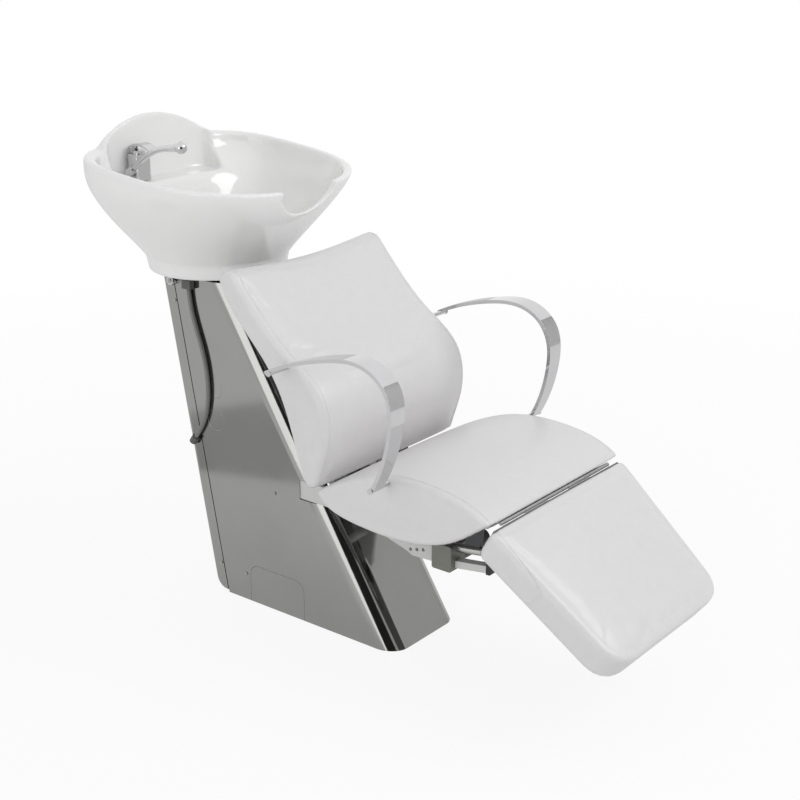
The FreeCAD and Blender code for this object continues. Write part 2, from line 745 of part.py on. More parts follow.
flange_low = s.bowl_floor - drain_seat_depth
tail_low = s.trap_top - 3.0
drain_disc = rod("drain_disc", "z", (0, s.drain_y, flange_low), "Sizes.drain_flange_radius",
                 "Sizes.drain_flange_thick")
drain_tail = rod("drain_tail", "z", (0, s.drain_y, tail_low), "Sizes.drain_tail_radius",
                 flange_low - tail_low)
tail_bore = rod("tail_bore", "z", (0, s.drain_y, tail_low - over),
                "Sizes.drain_tail_radius - Sizes.drain_tail_wall",
                s.bowl_floor - tail_low + 2 * over)
strainer_radius = s.drain_flange_radius - 6.0
strainer_thick = 2.0
strainer_well = rod("strainer_well", "z", (0, s.drain_y, s.bowl_floor - strainer_thick),
                    strainer_radius + s.soft_gap, 2 * over)
keep(cut("drain_cut", fuse("drain_fuse", drain_disc, drain_tail), tail_bore, strainer_well),
     "drain_flange")
strainer_plate = rod("strainer_plate", "z", (0, s.drain_y, s.bowl_floor - strainer_thick),
                     strainer_radius, strainer_thick)
strainer_holes = [rod("strainer_hole_0", "z", (0, s.drain_y, flange_low - over), 2.5, 3 * over)]
for ring_radius, count in ((8.0, 6), (15.5, 12)):
    for i in range(count):
        turn = 2 * math.pi * i / count
        strainer_holes.append(rod("strainer_hole_%d_%d" % (count, i), "z",
                                  (ring_radius * math.cos(turn),
                                   s.drain_y + ring_radius * math.sin(turn), flange_low - over),
                                  2.2, 3 * over))
keep(cut("strainer_cut", strainer_plate, *strainer_holes), "drain_strainer")


def hexagon(name, centre, across_flats, low, height, bore):
    """Nut with a round bore."""
    reach = across_flats / math.sqrt(3)
    corners = [(centre[0] + reach * math.cos(math.pi * i / 3), centre[1] + reach * math.sin(math.pi * i / 3))
               for i in range(6)]
    blank = extrude(name + "_blank", "XY_Plane", rounded(corners), "%f" % height, low, False)
    hole = rod(name + "_hole", "z", (*centre, low - over), bore, height + 2 * over)
    return cut(name, blank, hole)


drain_nut_height = 10.0
drain_nut_flats = 2 * (s.drain_tail_radius + 6.0)
keep(hexagon("drain_nut_cut", (0, s.drain_y), drain_nut_flats, s.foot_ceiling - drain_nut_height,
             drain_nut_height, s.drain_tail_radius), "drain_nut")

trap_low = s.trap_top - s.trap_height
trap_body = rod("trap_body", "z", (0, s.drain_y, trap_low), "Sizes.trap_radius", "Sizes.trap_height")
trap_neck = rod("trap_neck", "z", (0, s.drain_y, s.trap_top), s.drain_tail_radius + 4.0, 14.0)
outlet_radius = 16.0
outlet_length = 30.0
collar_reach = s.trap_radius + 4.0
outlet_high = trap_low + 60.0
trap_collar = rod("trap_collar", Vector(0, -1, 0), (0, s.drain_y - s.trap_radius / 2, outlet_high),
                  outlet_radius + 4.0, collar_reach - s.trap_radius / 2)
trap_outlet = rod("trap_outlet", Vector(0, -1, 0), (0, s.drain_y - s.trap_radius / 2, outlet_high),
                  outlet_radius, collar_reach - s.trap_radius / 2 + outlet_length)
outlet_bore = rod("outlet_bore", Vector(0, -1, 0), (0, s.drain_y, outlet_high),
                  outlet_radius - 3.0, collar_reach + outlet_length + over)
trap_inside = rod("trap_inside", "z", (0, s.drain_y, trap_low + 3.0), s.trap_radius - 3.0,
                  s.trap_height - 6.0)
neck_bore = rod("neck_bore", "z", (0, s.drain_y, s.trap_top - 3.0), "Sizes.drain_tail_radius", 2 * over)
keep(cut("trap_cut", fuse("trap_fuse", trap_body, trap_neck, trap_collar, trap_outlet), trap_inside, neck_bore,
         outlet_bore), "bottle_trap")

# Mixer: block on the deck, turning cap, lifting lever, hand spray in its side socket

mixer_top = s.deck_height + s.mixer_height
mixer_front = s.mixer_y - s.mixer_depth / 2
mixer_block = extrude("mixer_block", "XY_Plane",
                      rectangle(-s.mixer_width / 2, mixer_front, s.mixer_width / 2,
                                mixer_front + s.mixer_depth, 7.0),
                      "Sizes.mixer_height", s.deck_height, False)
shank_low = nut_top - 16.0
mixer_shank = rod("mixer_shank", "z", (0, s.mixer_y, shank_low), shank_radius, s.deck_height - shank_low)
inlet_depth = 15.0
inlets = [rod("mixer_inlet_%d" % side, "z", (side * s.mixer_inlet_spacing / 2, s.mixer_y, shank_low - over),
              "Sizes.mixer_inlet_radius", inlet_depth + over) for side in (-1, 1)]
socket_x = -s.mixer_width / 2 - 10.0
spray_shares = ((0.0, 0.0), (0.282, 0.473), (0.612, 0.824), (1.0, 1.0))
spray_foot = (s.mixer_y - 8.0, s.deck_height + 26.0)
spray_line = [(spray_foot[0] - along * s.spray_reach, spray_foot[1] + up * s.spray_rise)
              for along, up in spray_shares]
spray_start = Vector(socket_x, *spray_line[0])
spray_heading = Vector(0, spray_line[1][0] - spray_line[0][0], spray_line[1][1] - spray_line[0][1])
spray_heading.normalize()
socket_length = 26.0
socket_back = spray_start - spray_heading * 14.0
socket = rod("spray_socket", spray_heading, socket_back, s.spray_radius + 4.0, socket_length)
socket_bore = rod("spray_socket_bore", spray_heading, socket_back + spray_heading * 4.0,
                  s.spray_radius + s.soft_gap, socket_length)
socket_arm = rod("socket_arm", "x", (socket_x, *(socket_back + spray_heading * 9.0)[1:]), 6.0,
                 -socket_x - s.mixer_width / 3)
keep(cut("mixer_cut", fuse("mixer_fuse", mixer_block, mixer_shank, socket, socket_arm),
         *inlets, socket_bore), "mixer_body")
nut_height = 8.0
keep(hexagon("mixer_nut_cut", (0, s.mixer_y), 2 * nut_radius * 0.86, nut_top - nut_height, nut_height,
             shank_radius), "mixer_nut")

lever_pivot = (s.mixer_y + 17.0, mixer_top + s.cartridge_height + 1.5)
cap_disc = rod("cap_disc", "z", (0, s.mixer_y, mixer_top), "Sizes.cartridge_radius",
               "Sizes.cartridge_height - 3")
ear_inner = 7.0
ear_outer = 11.0
ears = []
for side in (-1, 1):
    outline = rounded([(s.mixer_y + 6.0, mixer_top), (s.mixer_y + 12.0, mixer_top),
                       (lever_pivot[0] + 4.0, lever_pivot[1] - 5.0),
                       (lever_pivot[0] + 4.0, lever_pivot[1] + 4.0, 3.0),
                       (lever_pivot[0] - 4.0, lever_pivot[1] + 4.0, 3.0)])
    ears.append(side_body("cap_ear_%d" % side, outline, "%f" % (ear_outer - ear_inner),
                          side * (ear_inner + ear_outer) / 2))
lever_pin_radius = 1.5
ear_bore = across("ear_bore", lever_pivot, lever_pin_radius)
keep(cut("cap_cut", fuse("cap_fuse", cap_disc, *ears), ear_bore), "mixer_cap")
keep(rod("lever_pin_bar", "x", (-ear_outer, *lever_pivot), lever_pin_radius, 2 * ear_outer),
     "mixer_lever_pin")
lever_front = (s.mixer_y - s.lever_reach, s.deck_height + 68.0)
lever_blade = side_body("lever_blade", [
    arc(lever_front, (s.mixer_y - 15.0, lever_front[1] + 13.5), (lever_pivot[0] + 1.0, lever_pivot[1] + 1.0)),
    line((lever_pivot[0] + 1.0, lever_pivot[1] + 1.0), (lever_pivot[0] + 1.0, lever_pivot[1] + 4.0)),
    arc((lever_pivot[0] + 1.0, lever_pivot[1] + 4.0), (s.mixer_y - 12.0, lever_front[1] + 19.0),
        (lever_front[0], lever_front[1] + 2.5)),
    line((lever_front[0], lever_front[1] + 2.5), lever_front)], "Sizes.lever_width")
ear_gaps = [side_body("ear_gap_%d" % side, rectangle(lever_pivot[0] - 12.0, mixer_top, lever_pivot[0] + 8.0,
                                                    lever_pivot[1] + 12.0),
                      "%f" % (ear_outer + 3.0 - ear_inner + 0.6), side * (ear_inner - 0.3 + ear_outer + 3.0) / 2)
            for side in (-1, 1)]
lever_knuckle = rod("lever_knuckle", "x", (-ear_inner + 0.3, *lever_pivot), 4.0, 2 * ear_inner - 0.6)
lever_bore = across("lever_bore", lever_pivot, lever_pin_radius, s.tilt_running)
keep(cut("lever_cut", fuse("lever_fuse", lever_blade, lever_knuckle), *ear_gaps, lever_bore), "mixer_lever")


def bar_loft(name, centres, headings, radii):
    """Round bar through circles set square to a line."""
    wires = []
    for centre, heading, radius in zip(centres, headings, radii):
        wires.append(Part.Wire([Part.Circle(Vector(*centre), Vector(*heading), radius).toShape()]))
    return Part.makeLoft(wires, True, False)


spray_headings = []
for i in range(4):
    before = Vector(0, *spray_line[max(i - 1, 0)])
    after = Vector(0, *spray_line[min(i + 1, 3)])
    heading = after - before
    heading.normalize()
    spray_headings.append(heading)
spray_tail = spray_start - spray_heading * 9.0
spray_centres = [Vector(socket_x, *p) for p in spray_line]
spray_neck = s.spray_radius
spray_straight = spray_start + spray_heading * 14.0
spray_bar = bar_loft("spray", [spray_tail, spray_start, spray_straight] + spray_centres[1:],
                     [spray_heading, spray_heading] + spray_headings,
                     (spray_neck, spray_neck, spray_neck, spray_neck, spray_neck + 1.0,
                      s.spray_head_radius - 3.0))
spray_nose = Part.makeSphere(s.spray_head_radius, spray_centres[3] + Vector(0, 2.0, -4.0))
keep(shaped("spray_shape", spray_bar.fuse(spray_nose)), "hand_spray")
for piece in parts:
    if piece.Label in ("mixer_body", "mixer_nut", "mixer_cap", "mixer_lever_pin", "mixer_lever", "hand_spray"):
        piece.Placement = Placement(Vector(s.mixer_x, 0, 0), Rotation()).multiply(piece.Placement)

# Side hose on the column, its fitting under the basin and its grommet

hose_x = -half_column - s.hose_stand_off - s.hose_radius
hose_line = ((590.5, 738.0), (587.5, 705.0), (579.5, 671.0), (567.0, 634.0), (554.0, 597.0), (544.5, 557.0),
             (540.5, 516.0), (543.0, 475.0), (553.0, 436.0), (570.0, 404.0), (588.0, 380.0))


def bent(points):
    """Centre line of a tube: straight runs joined by tangent arcs."""
    edges = []
    last = points[0]
    for index in range(1, len(points) - 1):
        here = points[index]
        before = points[index - 1] - here
        after = points[index + 1] - here
        reach = 0.45 * min(before.Length, after.Length)
        before.normalize()
        after.normalize()
        half_turn = (math.pi - before.getAngle(after)) / 2
        radius = reach / math.tan(half_turn)
        middle = before + after
        middle.normalize()
        start = here + before * reach
        end = here + after * reach
        top = here + middle * (radius / math.cos(half_turn) - radius)
        edges.append(Part.LineSegment(last, start).toShape())
        edges.append(Part.Arc(start, top, end).toShape())
        last = end
    edges.append(Part.LineSegment(last, points[-1]).toShape())
    return Part.Wire(edges)


hose_path = bent([Vector(hose_x, *point) for point in hose_line])
hose_head = Vector(0, *hose_line[1]) - Vector(0, *hose_line[0])
hose_ring = Part.Wire([Part.Circle(Vector(hose_x, *hose_line[0]), hose_head, s.hose_radius).toShape()])
side_hose = keep(shaped("side_hose_shape", hose_path.makePipeShell([hose_ring], True, True)), "side_hose")

fitting_half = 14.0
fitting_low = hose_line[0][1]
fitting_x = hose_x - s.hose_radius - 4.0
fitting = extrude("hose_fitting_block", "XY_Plane",
                  rectangle(fitting_x, hose_line[0][0] - fitting_half, -half_column,
                            hose_line[0][0] + fitting_half, 3.0),
                  "%f" % (s.column_height - fitting_low - 1.0), fitting_low - 1.5, False)
hose_clear = s.hose_radius
fitting_well = rod("fitting_well", -hose_head, (hose_x, *(Vector(0, *hose_line[0]) + hose_head)[1:]),
                   hose_clear, hose_head.Length)
keep(cut("fitting_cut", fitting, fitting_well), "hose_fitting")
grommet_way = Vector(0, *hose_line[-1]) - Vector(0, *hose_line[-2])
grommet_way.normalize()
grommet_radius = s.hose_radius + 4.0
grommet_length = 18.0
grommet_blank = rod("grommet_blank", grommet_way, (hose_x, *hose_line[-1]), grommet_radius, grommet_length)
grommet_wall = box("grommet_wall", (-half_column, 0, 0), (0, s.column_top_rear, s.column_height))
keep(cut("grommet_cut", grommet_blank, grommet_wall), "hose_grommet")

# Carrier arms out of the column, cross tube between them, bolts into the frame plates

arm_rear_low = front_at(s.notch_low) + 10.0
arm_corners = [
    (s.arm_rear, s.arm_top), (s.arm_rear, s.notch_low), (arm_rear_low, s.notch_low), (100.0, 300.0),
    (-30.0, 262.0), (-45.0, s.plate_low, 12.0), (s.plate_front, s.plate_low + 2.0, 6.0),
    (s.plate_front, s.arm_top, 6.0)]
arm_centre = s.frame_face + s.arm_thick / 2
arm_bolts = ((380.0, 325.0), (420.0, 325.0))
plate_holes = ((-40.0, 268.0), (-57.0, 272.0), (-74.0, 276.0))
for side, word in ((-1, "right"), (1, "left")):
    arm = side_body("arm_blank_" + word, rounded(arm_corners), "Sizes.arm_thick", side * arm_centre)
    holes = [across("arm_hole_%s_%d" % (word, i), spot, s.bolt_radius)
             for i, spot in enumerate(arm_bolts + plate_holes)]
    keep(cut("arm_cut_" + word, arm, *holes), "carrier_arm_" + word)

cross_y = 20.0
cross_z = 304.0
carrier_outer = rod("carrier_cross_outer", "x", (-s.frame_face, cross_y, cross_z), 10.0, 2 * s.frame_face)
carrier_bore = rod("carrier_cross_bore", "x", (-s.frame_face - over, cross_y, cross_z), 8.0,
                   2 * (s.frame_face + over))
keep(cut("carrier_cross_cut", carrier_outer, carrier_bore), "carrier_cross_tube")
carrier_bolts = []
for side in (-1, 1):
    for i, (y, z) in enumerate(arm_bolts):
        inner = side * frame_inner_face
        outward = Vector(side, 0, 0)
        shank = rod("carrier_bolt_%d_%d" % (side, i), outward, (inner, y, z), "Sizes.bolt_radius",
                    "Sizes.frame_thick + Sizes.arm_thick")
        head = rod("carrier_bolt_head_%d_%d" % (side, i), -outward, (inner, y, z), bolt_head,
                   "Sizes.bolt_radius")
        carrier_bolts.append(fuse("carrier_bolt_fuse_%d_%d" % (side, i), shank, head))
keep(group("carrier_bolt_group", *carrier_bolts), "carrier_bolts")

# Soft pieces: closed side sections lofted across the width, drawn in at both edges with
# a shallow seam behind the edge, and crowned in the middle

SEAT_TOP = ((-327.0, 443.0), (-299.0, 461.0), (-261.0, 475.0), (-213.0, 484.0), (-164.0, 488.0),
            (-63.0, 480.0), (29.0, 448.0), (111.0, 404.0))
SEAT_BOTTOM = ((-326.0, 441.0), (-309.0, 428.0), (-262.0, 394.0), (-189.0, 360.0), (-114.0, 348.0),
               (-36.0, 348.0), (31.0, 356.0), (85.0, 373.0), (114.0, 402.0))
BACK_FRONT = ((333.0, 834.0), (268.0, 760.0), (224.0, 716.0), (176.0, 678.0), (133.0, 648.0),
              (101.0, 616.0), (82.0, 569.0), (80.0, 526.0), (94.0, 465.0), (111.0, 416.0))
BACK_REAR = ((378.0, 819.0), (343.0, 757.0), (297.0, 706.0), (244.0, 647.0), (207.0, 585.0),
             (176.0, 503.0), (137.0, 403.0))
EDGE_STEPS = ((0.0, 10.0), (4.0, 4.5), (8.0, 2.0), (12.0, 1.0), (16.0, 2.2), (20.0, 0.8))
SAMPLES = 13


def spline(points):
    curve = Part.BSplineCurve()
    curve.interpolate([Vector(*point, 0) for point in points])
    return curve


def sample_shares(count):
    return [(1 - math.cos(math.pi * (i + 0.5) / count)) / 2 for i in range(count)]


def along(curve, share):
    return curve.value(blend(curve.FirstParameter, curve.LastParameter, share))


def open_curve(points, knots):
    """Edge through points, all sections of a loft sharing the same knots."""
    curve = Part.BSplineCurve()
    curve.interpolate(Points=points, Parameters=knots)
    return curve.toShape()


def cushion(name, face, back, half_width, crown, dip=0.0):
    """Cushion between a face curve and a back curve."""
    shares = sample_shares(SAMPLES)
    faces = [along(face, share) for share in shares]
    backs = [along(back, share) for share in shares]
    middles = [(a + b) * 0.5 for a, b in zip(faces, backs)]
    half_thick = max((a - b).Length for a, b in zip(faces, backs)) / 2
    half_length = (middles[0] - middles[-1]).Length / 2
    centre = (middles[0] + middles[-1]) * 0.5
    top_way = middles[0] - middles[1]
    top_way.normalize()
    end_way = middles[-1] - middles[-2]
    end_way.normalize()
    def section(x, inset):
        hump = 1 - (x / half_width) ** 2
        rows = []
        for share, a, b, m in zip(shares, faces, backs, middles):
            out = a - b
            out.normalize()
            sink = top_way * (-dip * hump * max(0.0, 1 - share * 3.5) ** 2)
            here = centre + (m - centre) * (1 - inset / half_length) + sink
            up = (a - m) * (1 - inset / half_thick) + out * (crown * hump * math.sin(math.pi * share))
            down = (b - m) * (1 - inset / half_thick)
            rows.append((here + up, here + down))
        first = (rows[0][0] + rows[0][1]) * 0.5 + top_way * ((rows[0][0] - rows[0][1]).Length * 0.3)
        last = (rows[-1][0] + rows[-1][1]) * 0.5 + end_way * ((rows[-1][0] - rows[-1][1]).Length * 0.3)

        def across_at(point):
            return Vector(x, point.x, point.y)

        face_side = open_curve([across_at(row[0]) for row in rows], shares)
        back_side = open_curve([across_at(row[1]) for row in rows], shares)
        start_cap = Part.Arc(across_at(rows[0][1]), across_at(first), across_at(rows[0][0]))
        end_cap = Part.Arc(across_at(rows[-1][0]), across_at(last), across_at(rows[-1][1]))
        return Part.Wire([face_side, end_cap.toShape(), back_side, start_cap.toShape()])

    right_edge = [section(distance - half_width, inset) for distance, inset in EDGE_STEPS]
    left_edge = [section(half_width - distance, inset) for distance, inset in reversed(EDGE_STEPS)]
    reach, edge_inset = EDGE_STEPS[-1]
    bays = 6
    middle = [section((half_width - reach) * (2 * i / bays - 1), edge_inset if i in (0, bays) else 0.0)
              for i in range(bays + 1)]
    bodies = [Part.makeLoft(run, True, False) for run in (right_edge, middle, left_edge)]
    return shaped(name, bodies[0].fuse(bodies[1:]))


def strip(name, curve, start, end, inner, outer, length, offset=0.0):
    """Band along part of a curve, between two distances from it, padded across."""
    first = blend(curve.FirstParameter, curve.LastParameter, start)
    last = blend(curve.FirstParameter, curve.LastParameter, end)
    sides = []
    for distance in (inner, outer):
        if distance:
            points = []
            for i in range(SAMPLES):
                at = blend(first, last, i / (SAMPLES - 1))
                way = curve.tangent(at)[0]
                points.append(curve.value(at) + Vector(-way.y, way.x, 0) * distance)
            side = Part.BSplineCurve()
            side.interpolate(points)
        else:
            side = curve.copy()
            side.segment(first, last)
        sides.append(side)
    a, b = sides
    edges = [a, Part.LineSegment(a.EndPoint, b.EndPoint), b, Part.LineSegment(b.StartPoint, a.StartPoint)]
    return side_body(name, edges, length, offset)


seat_half = s.seat_width / 2
back_half = s.back_width / 2
seat_top = spline(SEAT_TOP)
seat_bottom = spline(SEAT_BOTTOM)
back_front = spline(BACK_FRONT)
back_rear = spline(BACK_REAR)

# Seat: pan with side ears for the armrests, rails on the carrier arms, cushion

pan_start = 0.06
pan_end = 0.90
pan_length = "Sizes.seat_width - 2 * Sizes.board_inset"
pocket_length = "Sizes.seat_width - 2 * Sizes.board_inset + 2 * Sizes.soft_gap"
foot_pin = (-83.0, 471.0)
ear_thick = 16.0
ear_half = 17.0
ear_out = seat_half - s.board_inset


def side_ears(name, low, high, grow=0.0):
    """Blocks inside both edges of a cushion that the armrests screw into."""
    return [box("%s_%d" % (name, side),
                (min(side * (ear_out + grow), side * (ear_out - ear_thick - grow)), low[0] - grow, low[1] - grow),
                (max(side * (ear_out + grow), side * (ear_out - ear_thick - grow)), high[0] + grow,
                 high[1] + grow))
            for side in (-1, 1)]


ear_low = (foot_pin[0] - ear_half, s.arm_top + s.board_thick / 2)
ear_high = (foot_pin[0] + ear_half, foot_pin[1] + s.pin_radius + 2.0)
pan_plate = strip("pan_plate", seat_bottom, pan_start, pan_end, 0.0, s.board_thick, pan_length)
pan_ears = side_ears("pan_ear", ear_low, ear_high)
foot_bore = rod("foot_bore", "x", (-s.armrest_outer, *foot_pin), "Sizes.pin_radius", 2 * s.armrest_outer)
seat_leaf_way = Vector(0, 0.81, -0.586)
leaf_turn = math.degrees(math.atan2(seat_leaf_way.z, seat_leaf_way.y))
hinge = Vector(0, s.hinge_y, s.hinge_z)


def seat_leaf_plate(name, grow=0.0):
    """Leaf under the front of the seat."""
    plate = box(name, (-s.hinge_length / 2 - grow, 0, -grow),
                (s.hinge_length / 2 + grow, s.leaf_length + grow, s.leaf_thick + grow))
    plate.Placement = Placement(hinge, Rotation(X_AXIS, leaf_turn)).multiply(
        Placement(Vector(-s.hinge_length / 2 - grow, s.hinge_running, s.knuckle_radius - s.leaf_thick - grow),
                  Rotation()))
    return plate


rail_in = 22.0
rail_front = -118.0
rail_rear = -32.0
rail_low = s.arm_top - 16.0
rail_bite = 8.0
rail_spots = [(side * (s.frame_face - rail_in / 2), y) for side in (-1, 1)
              for y in (rail_front + 18.0, rail_rear - 18.0)]
rail_holes = [rod("rail_hole_%d" % i, "z", (x, y, rail_low - over), "Sizes.bolt_radius",
                  over + s.arm_top - rail_low + rail_bite) for i, (x, y) in enumerate(rail_spots)]
keep(cut("pan_cut", fuse("pan_fuse", pan_plate, *pan_ears), foot_bore, seat_leaf_plate("leaf_recess"),
         *rail_holes), "seat_pan")
seat_blank = cushion("seat_blank", seat_top, seat_bottom, seat_half, s.seat_crown)
pan_pocket = strip("pan_pocket", seat_bottom, pan_start - 0.002, pan_end + 0.002, -over,
                   s.board_thick + s.soft_gap, pocket_length)
ear_pockets = side_ears("ear_pocket", ear_low, ear_high, s.soft_gap)
pin_pocket = rod("pin_pocket", "x", (-s.armrest_outer, *foot_pin), s.pin_radius + s.soft_gap,
                 s.armrest_outer - ear_out + ear_thick / 2)
pin_pocket_left = rod("pin_pocket_left", "x", (ear_out - ear_thick / 2, *foot_pin),
                      s.pin_radius + s.soft_gap, s.armrest_outer - ear_out)
leaf_pocket = seat_leaf_plate("leaf_pocket", s.soft_gap)
keep(cut("seat_cushion_cut", seat_blank, pan_pocket, *ear_pockets, pin_pocket, pin_pocket_left, leaf_pocket),
     "seat_cushion")

rails = []
for side in (-1, 1):
    low = (min(side * s.frame_face, side * (s.frame_face - rail_in)), rail_front, rail_low)
    high = (max(side * s.frame_face, side * (s.frame_face - rail_in)), rail_rear, s.arm_top + 8.0)
    rails.append(box("seat_rail_%d" % side, low, high))
rail_trim = strip("rail_trim", seat_bottom, pan_start, pan_end, 0.0, s.board_thick * 2, pan_length)
keep(cut("rail_cut", group("rail_group", *rails), rail_trim, *rail_holes), "seat_rails")
seat_bolts = []
for i, (x, y) in enumerate(rail_spots):
    shank = rod("seat_bolt_%d" % i, "z", (x, y, rail_low), "Sizes.bolt_radius",
                s.arm_top - rail_low + rail_bite)
    head = rod("seat_bolt_head_%d" % i, "z", (x, y, rail_low - s.bolt_radius), bolt_head, "Sizes.bolt_radius")
    seat_bolts.append(fuse("seat_bolt_fuse_%d" % i, shank, head))
seat_bolt_group = keep(group("seat_bolt_group", *seat_bolts), "seat_bolts")

# Backrest: board with side ears, cushion, brackets down to the carrier arms

board_start = 0.06
board_end = 0.93
board_length = "Sizes.back_width - 2 * Sizes.board_inset"
rear_pin = (182.0, 661.0)
back_ear_low = (rear_pin[0] - ear_half / 2, rear_pin[1] - ear_half)
back_ear_high = (rear_pin[0] + 62.0, rear_pin[1] + ear_half / 2)
board_plate = strip("board_plate", back_rear, board_start, board_end, 0.0, -s.board_thick, board_length)
board_ears = side_ears("board_ear", back_ear_low, back_ear_high)
rear_bore = rod("rear_bore", "x", (-s.armrest_outer, *rear_pin), "Sizes.pin_radius", 2 * s.armrest_outer)
keep(cut("board_cut", fuse("board_fuse", board_plate, *board_ears), rear_bore), "backrest_board")
back_blank = cushion("back_blank", back_front, back_rear, back_half, s.back_crown, s.back_dip)
board_pocket = strip("board_pocket", back_rear, board_start - 0.002, board_end + 0.002, over,
                     -s.board_thick - s.soft_gap, board_length + " + 2 * Sizes.soft_gap")
back_ear_pockets = side_ears("back_ear_pocket", back_ear_low, back_ear_high, s.soft_gap)
rear_pin_pockets = [rod("rear_pin_pocket_%d" % side, Vector(side, 0, 0),
                        (side * (ear_out - ear_thick / 2), *rear_pin), s.pin_radius + s.soft_gap,
                        s.armrest_outer - ear_out) for side in (-1, 1)]
back_hollowed = cut("back_hollowed", back_blank, board_pocket)
keep(cut("back_cushion_cut", back_hollowed, *back_ear_pockets, *rear_pin_pockets), "backrest_cushion")

bracket_start = 0.46
bracket_end = 0.93
bracket_centre = s.frame_face - s.bracket_width / 2
foot_front = 128.0
foot_rear = 184.0
foot_low = s.notch_low + 8.0
foot_top_z = s.arm_top - 2.0
brackets = []
for side in (-1, 1):
    riser = strip("bracket_riser_%d" % side, back_rear, bracket_start, bracket_end, 0.0, s.bracket_thick,
                  "Sizes.bracket_width", side * bracket_centre)
    at = blend(back_rear.FirstParameter, back_rear.LastParameter, bracket_end)
    low_front = back_rear.value(at)
    way = back_rear.tangent(at)[0]
    low_rear = low_front + Vector(-way.y, way.x, 0) * s.bracket_thick
    foot = side_body("bracket_foot_%d" % side, rounded([
        (foot_front, foot_low), (foot_rear, foot_low), (foot_rear, foot_top_z),
        (low_rear.x, low_rear.y), (low_front.x, low_front.y), (foot_front, foot_top_z)]),
        "Sizes.bracket_width", side * bracket_centre)
    brackets.append(fuse("bracket_fuse_%d" % side, riser, foot))
bracket_spots = ((foot_front + 14.0, foot_low + 16.0), (foot_rear - 14.0, foot_low + 16.0))
bracket_holes = [rod("bracket_hole_%d" % i, "x", (-s.frame_face - s.arm_thick + 2.0, *spot),
                     "Sizes.bolt_radius", 2 * (s.frame_face + s.arm_thick - 2.0))
                 for i, spot in enumerate(bracket_spots)]
keep(cut("bracket_cut", group("bracket_group", *brackets), *bracket_holes), "back_brackets")

# Armrests: bands bent around their outer curve, cut narrower towards both ends

BAND = ((195.0, 663.0), (143.0, 687.0), (78.0, 709.0), (5.0, 726.0), (-45.0, 729.0), (-93.0, 713.0),
        (-125.0, 680.0), (-136.0, 635.0), (-131.0, 583.0), (-113.0, 520.0), (-88.0, 468.0))
band_curve = spline(BAND)
band_inner = s.armrest_outer - s.armrest_width
rear_inner = s.armrest_outer - s.armrest_end_width
low_inner = s.armrest_outer - s.armrest_low_width
taper_start = -30.0
taper_end = BAND[0][0] + over
low_taper_start = 680.0
low_taper_end = BAND[-1][1] - over


def run_out(start, end, at, full, narrow):
    """Inner edge at a place beyond the taper's end, on the straight line through both."""
    return full + (narrow - full) * (at - start) / (end - start)


for side, word in ((-1, "right"), (1, "left")):
    blank = strip("band_blank_" + word, band_curve, 0.0, 1.0, 0.0, s.armrest_thick, "Sizes.armrest_width",
                  side * (band_inner + s.armrest_width / 2))
    wide = run_out(taper_start, BAND[0][0], taper_end, band_inner, rear_inner)
    upper_taper = extrude("upper_taper_" + word, "XY_Plane", rounded([
        (side * band_inner, taper_start), (side * wide, taper_end),
        (side * (band_inner - over), taper_end), (side * (band_inner - over), taper_start)]),
        "Sizes.cradle_top - Sizes.taper_level", s.taper_level, False)
    low_wide = run_out(low_taper_start, BAND[-1][1], low_taper_end, band_inner, low_inner)
    lower_taper = extrude("lower_taper_" + word, "XZ_Plane", rounded([
        (side * band_inner, low_taper_start), (side * low_wide, low_taper_end),
        (side * (band_inner - over), low_taper_end), (side * (band_inner - over), low_taper_start)]),
        "Sizes.rim_half_width", -taper_start, False)
    rear_hole = rod("band_rear_hole_" + word, "x", (-s.armrest_outer - over, *rear_pin), "Sizes.pin_radius",
                    2 * (s.armrest_outer + over))
    foot_hole = rod("band_foot_hole_" + word, "x", (-s.armrest_outer - over, *foot_pin), "Sizes.pin_radius",
                    2 * (s.armrest_outer + over))
    keep(cut("armrest_cut_" + word, blank, upper_taper, lower_taper, rear_hole, foot_hole), "armrest_" + word)

armrest_pins = []
for side in (-1, 1):
    outward = Vector(side, 0, 0)
    inner = ear_out - ear_thick
    for name, spot in (("rear", rear_pin), ("foot", foot_pin)):
        shank = rod("armrest_%s_pin_%d" % (name, side), outward, (side * inner, *spot), "Sizes.pin_radius",
                    s.armrest_outer - inner)
        head = rod("armrest_%s_head_%d" % (name, side), outward, (side * s.armrest_outer, *spot),
                   s.pin_radius + 1.5, s.screw_head_thick)
        armrest_pins.append(fuse("armrest_%s_fuse_%d" % (name, side), shank, head))
keep(group("armrest_pin_group", *armrest_pins), "armrest_pins")

# Legrest, drawn in its own frame: y down its length from the hinge, z to its rear

leg_frame = Placement(hinge, Rotation(X_AXIS, 180 + s.leg_angle))
leg_rear = s.leg_thick - 1.0
leg_top = 5.2
top_lean = 0.152
low_corner = 55.0
leg_round = 12.0


def leg_half(u):
    """Half width of the legrest at a distance from its top."""
    return blend(s.leg_top_width, s.leg_low_width, u / s.leg_length) / 2


def leg_top_at(v):
    return leg_top + (v + s.leg_face) * top_lean


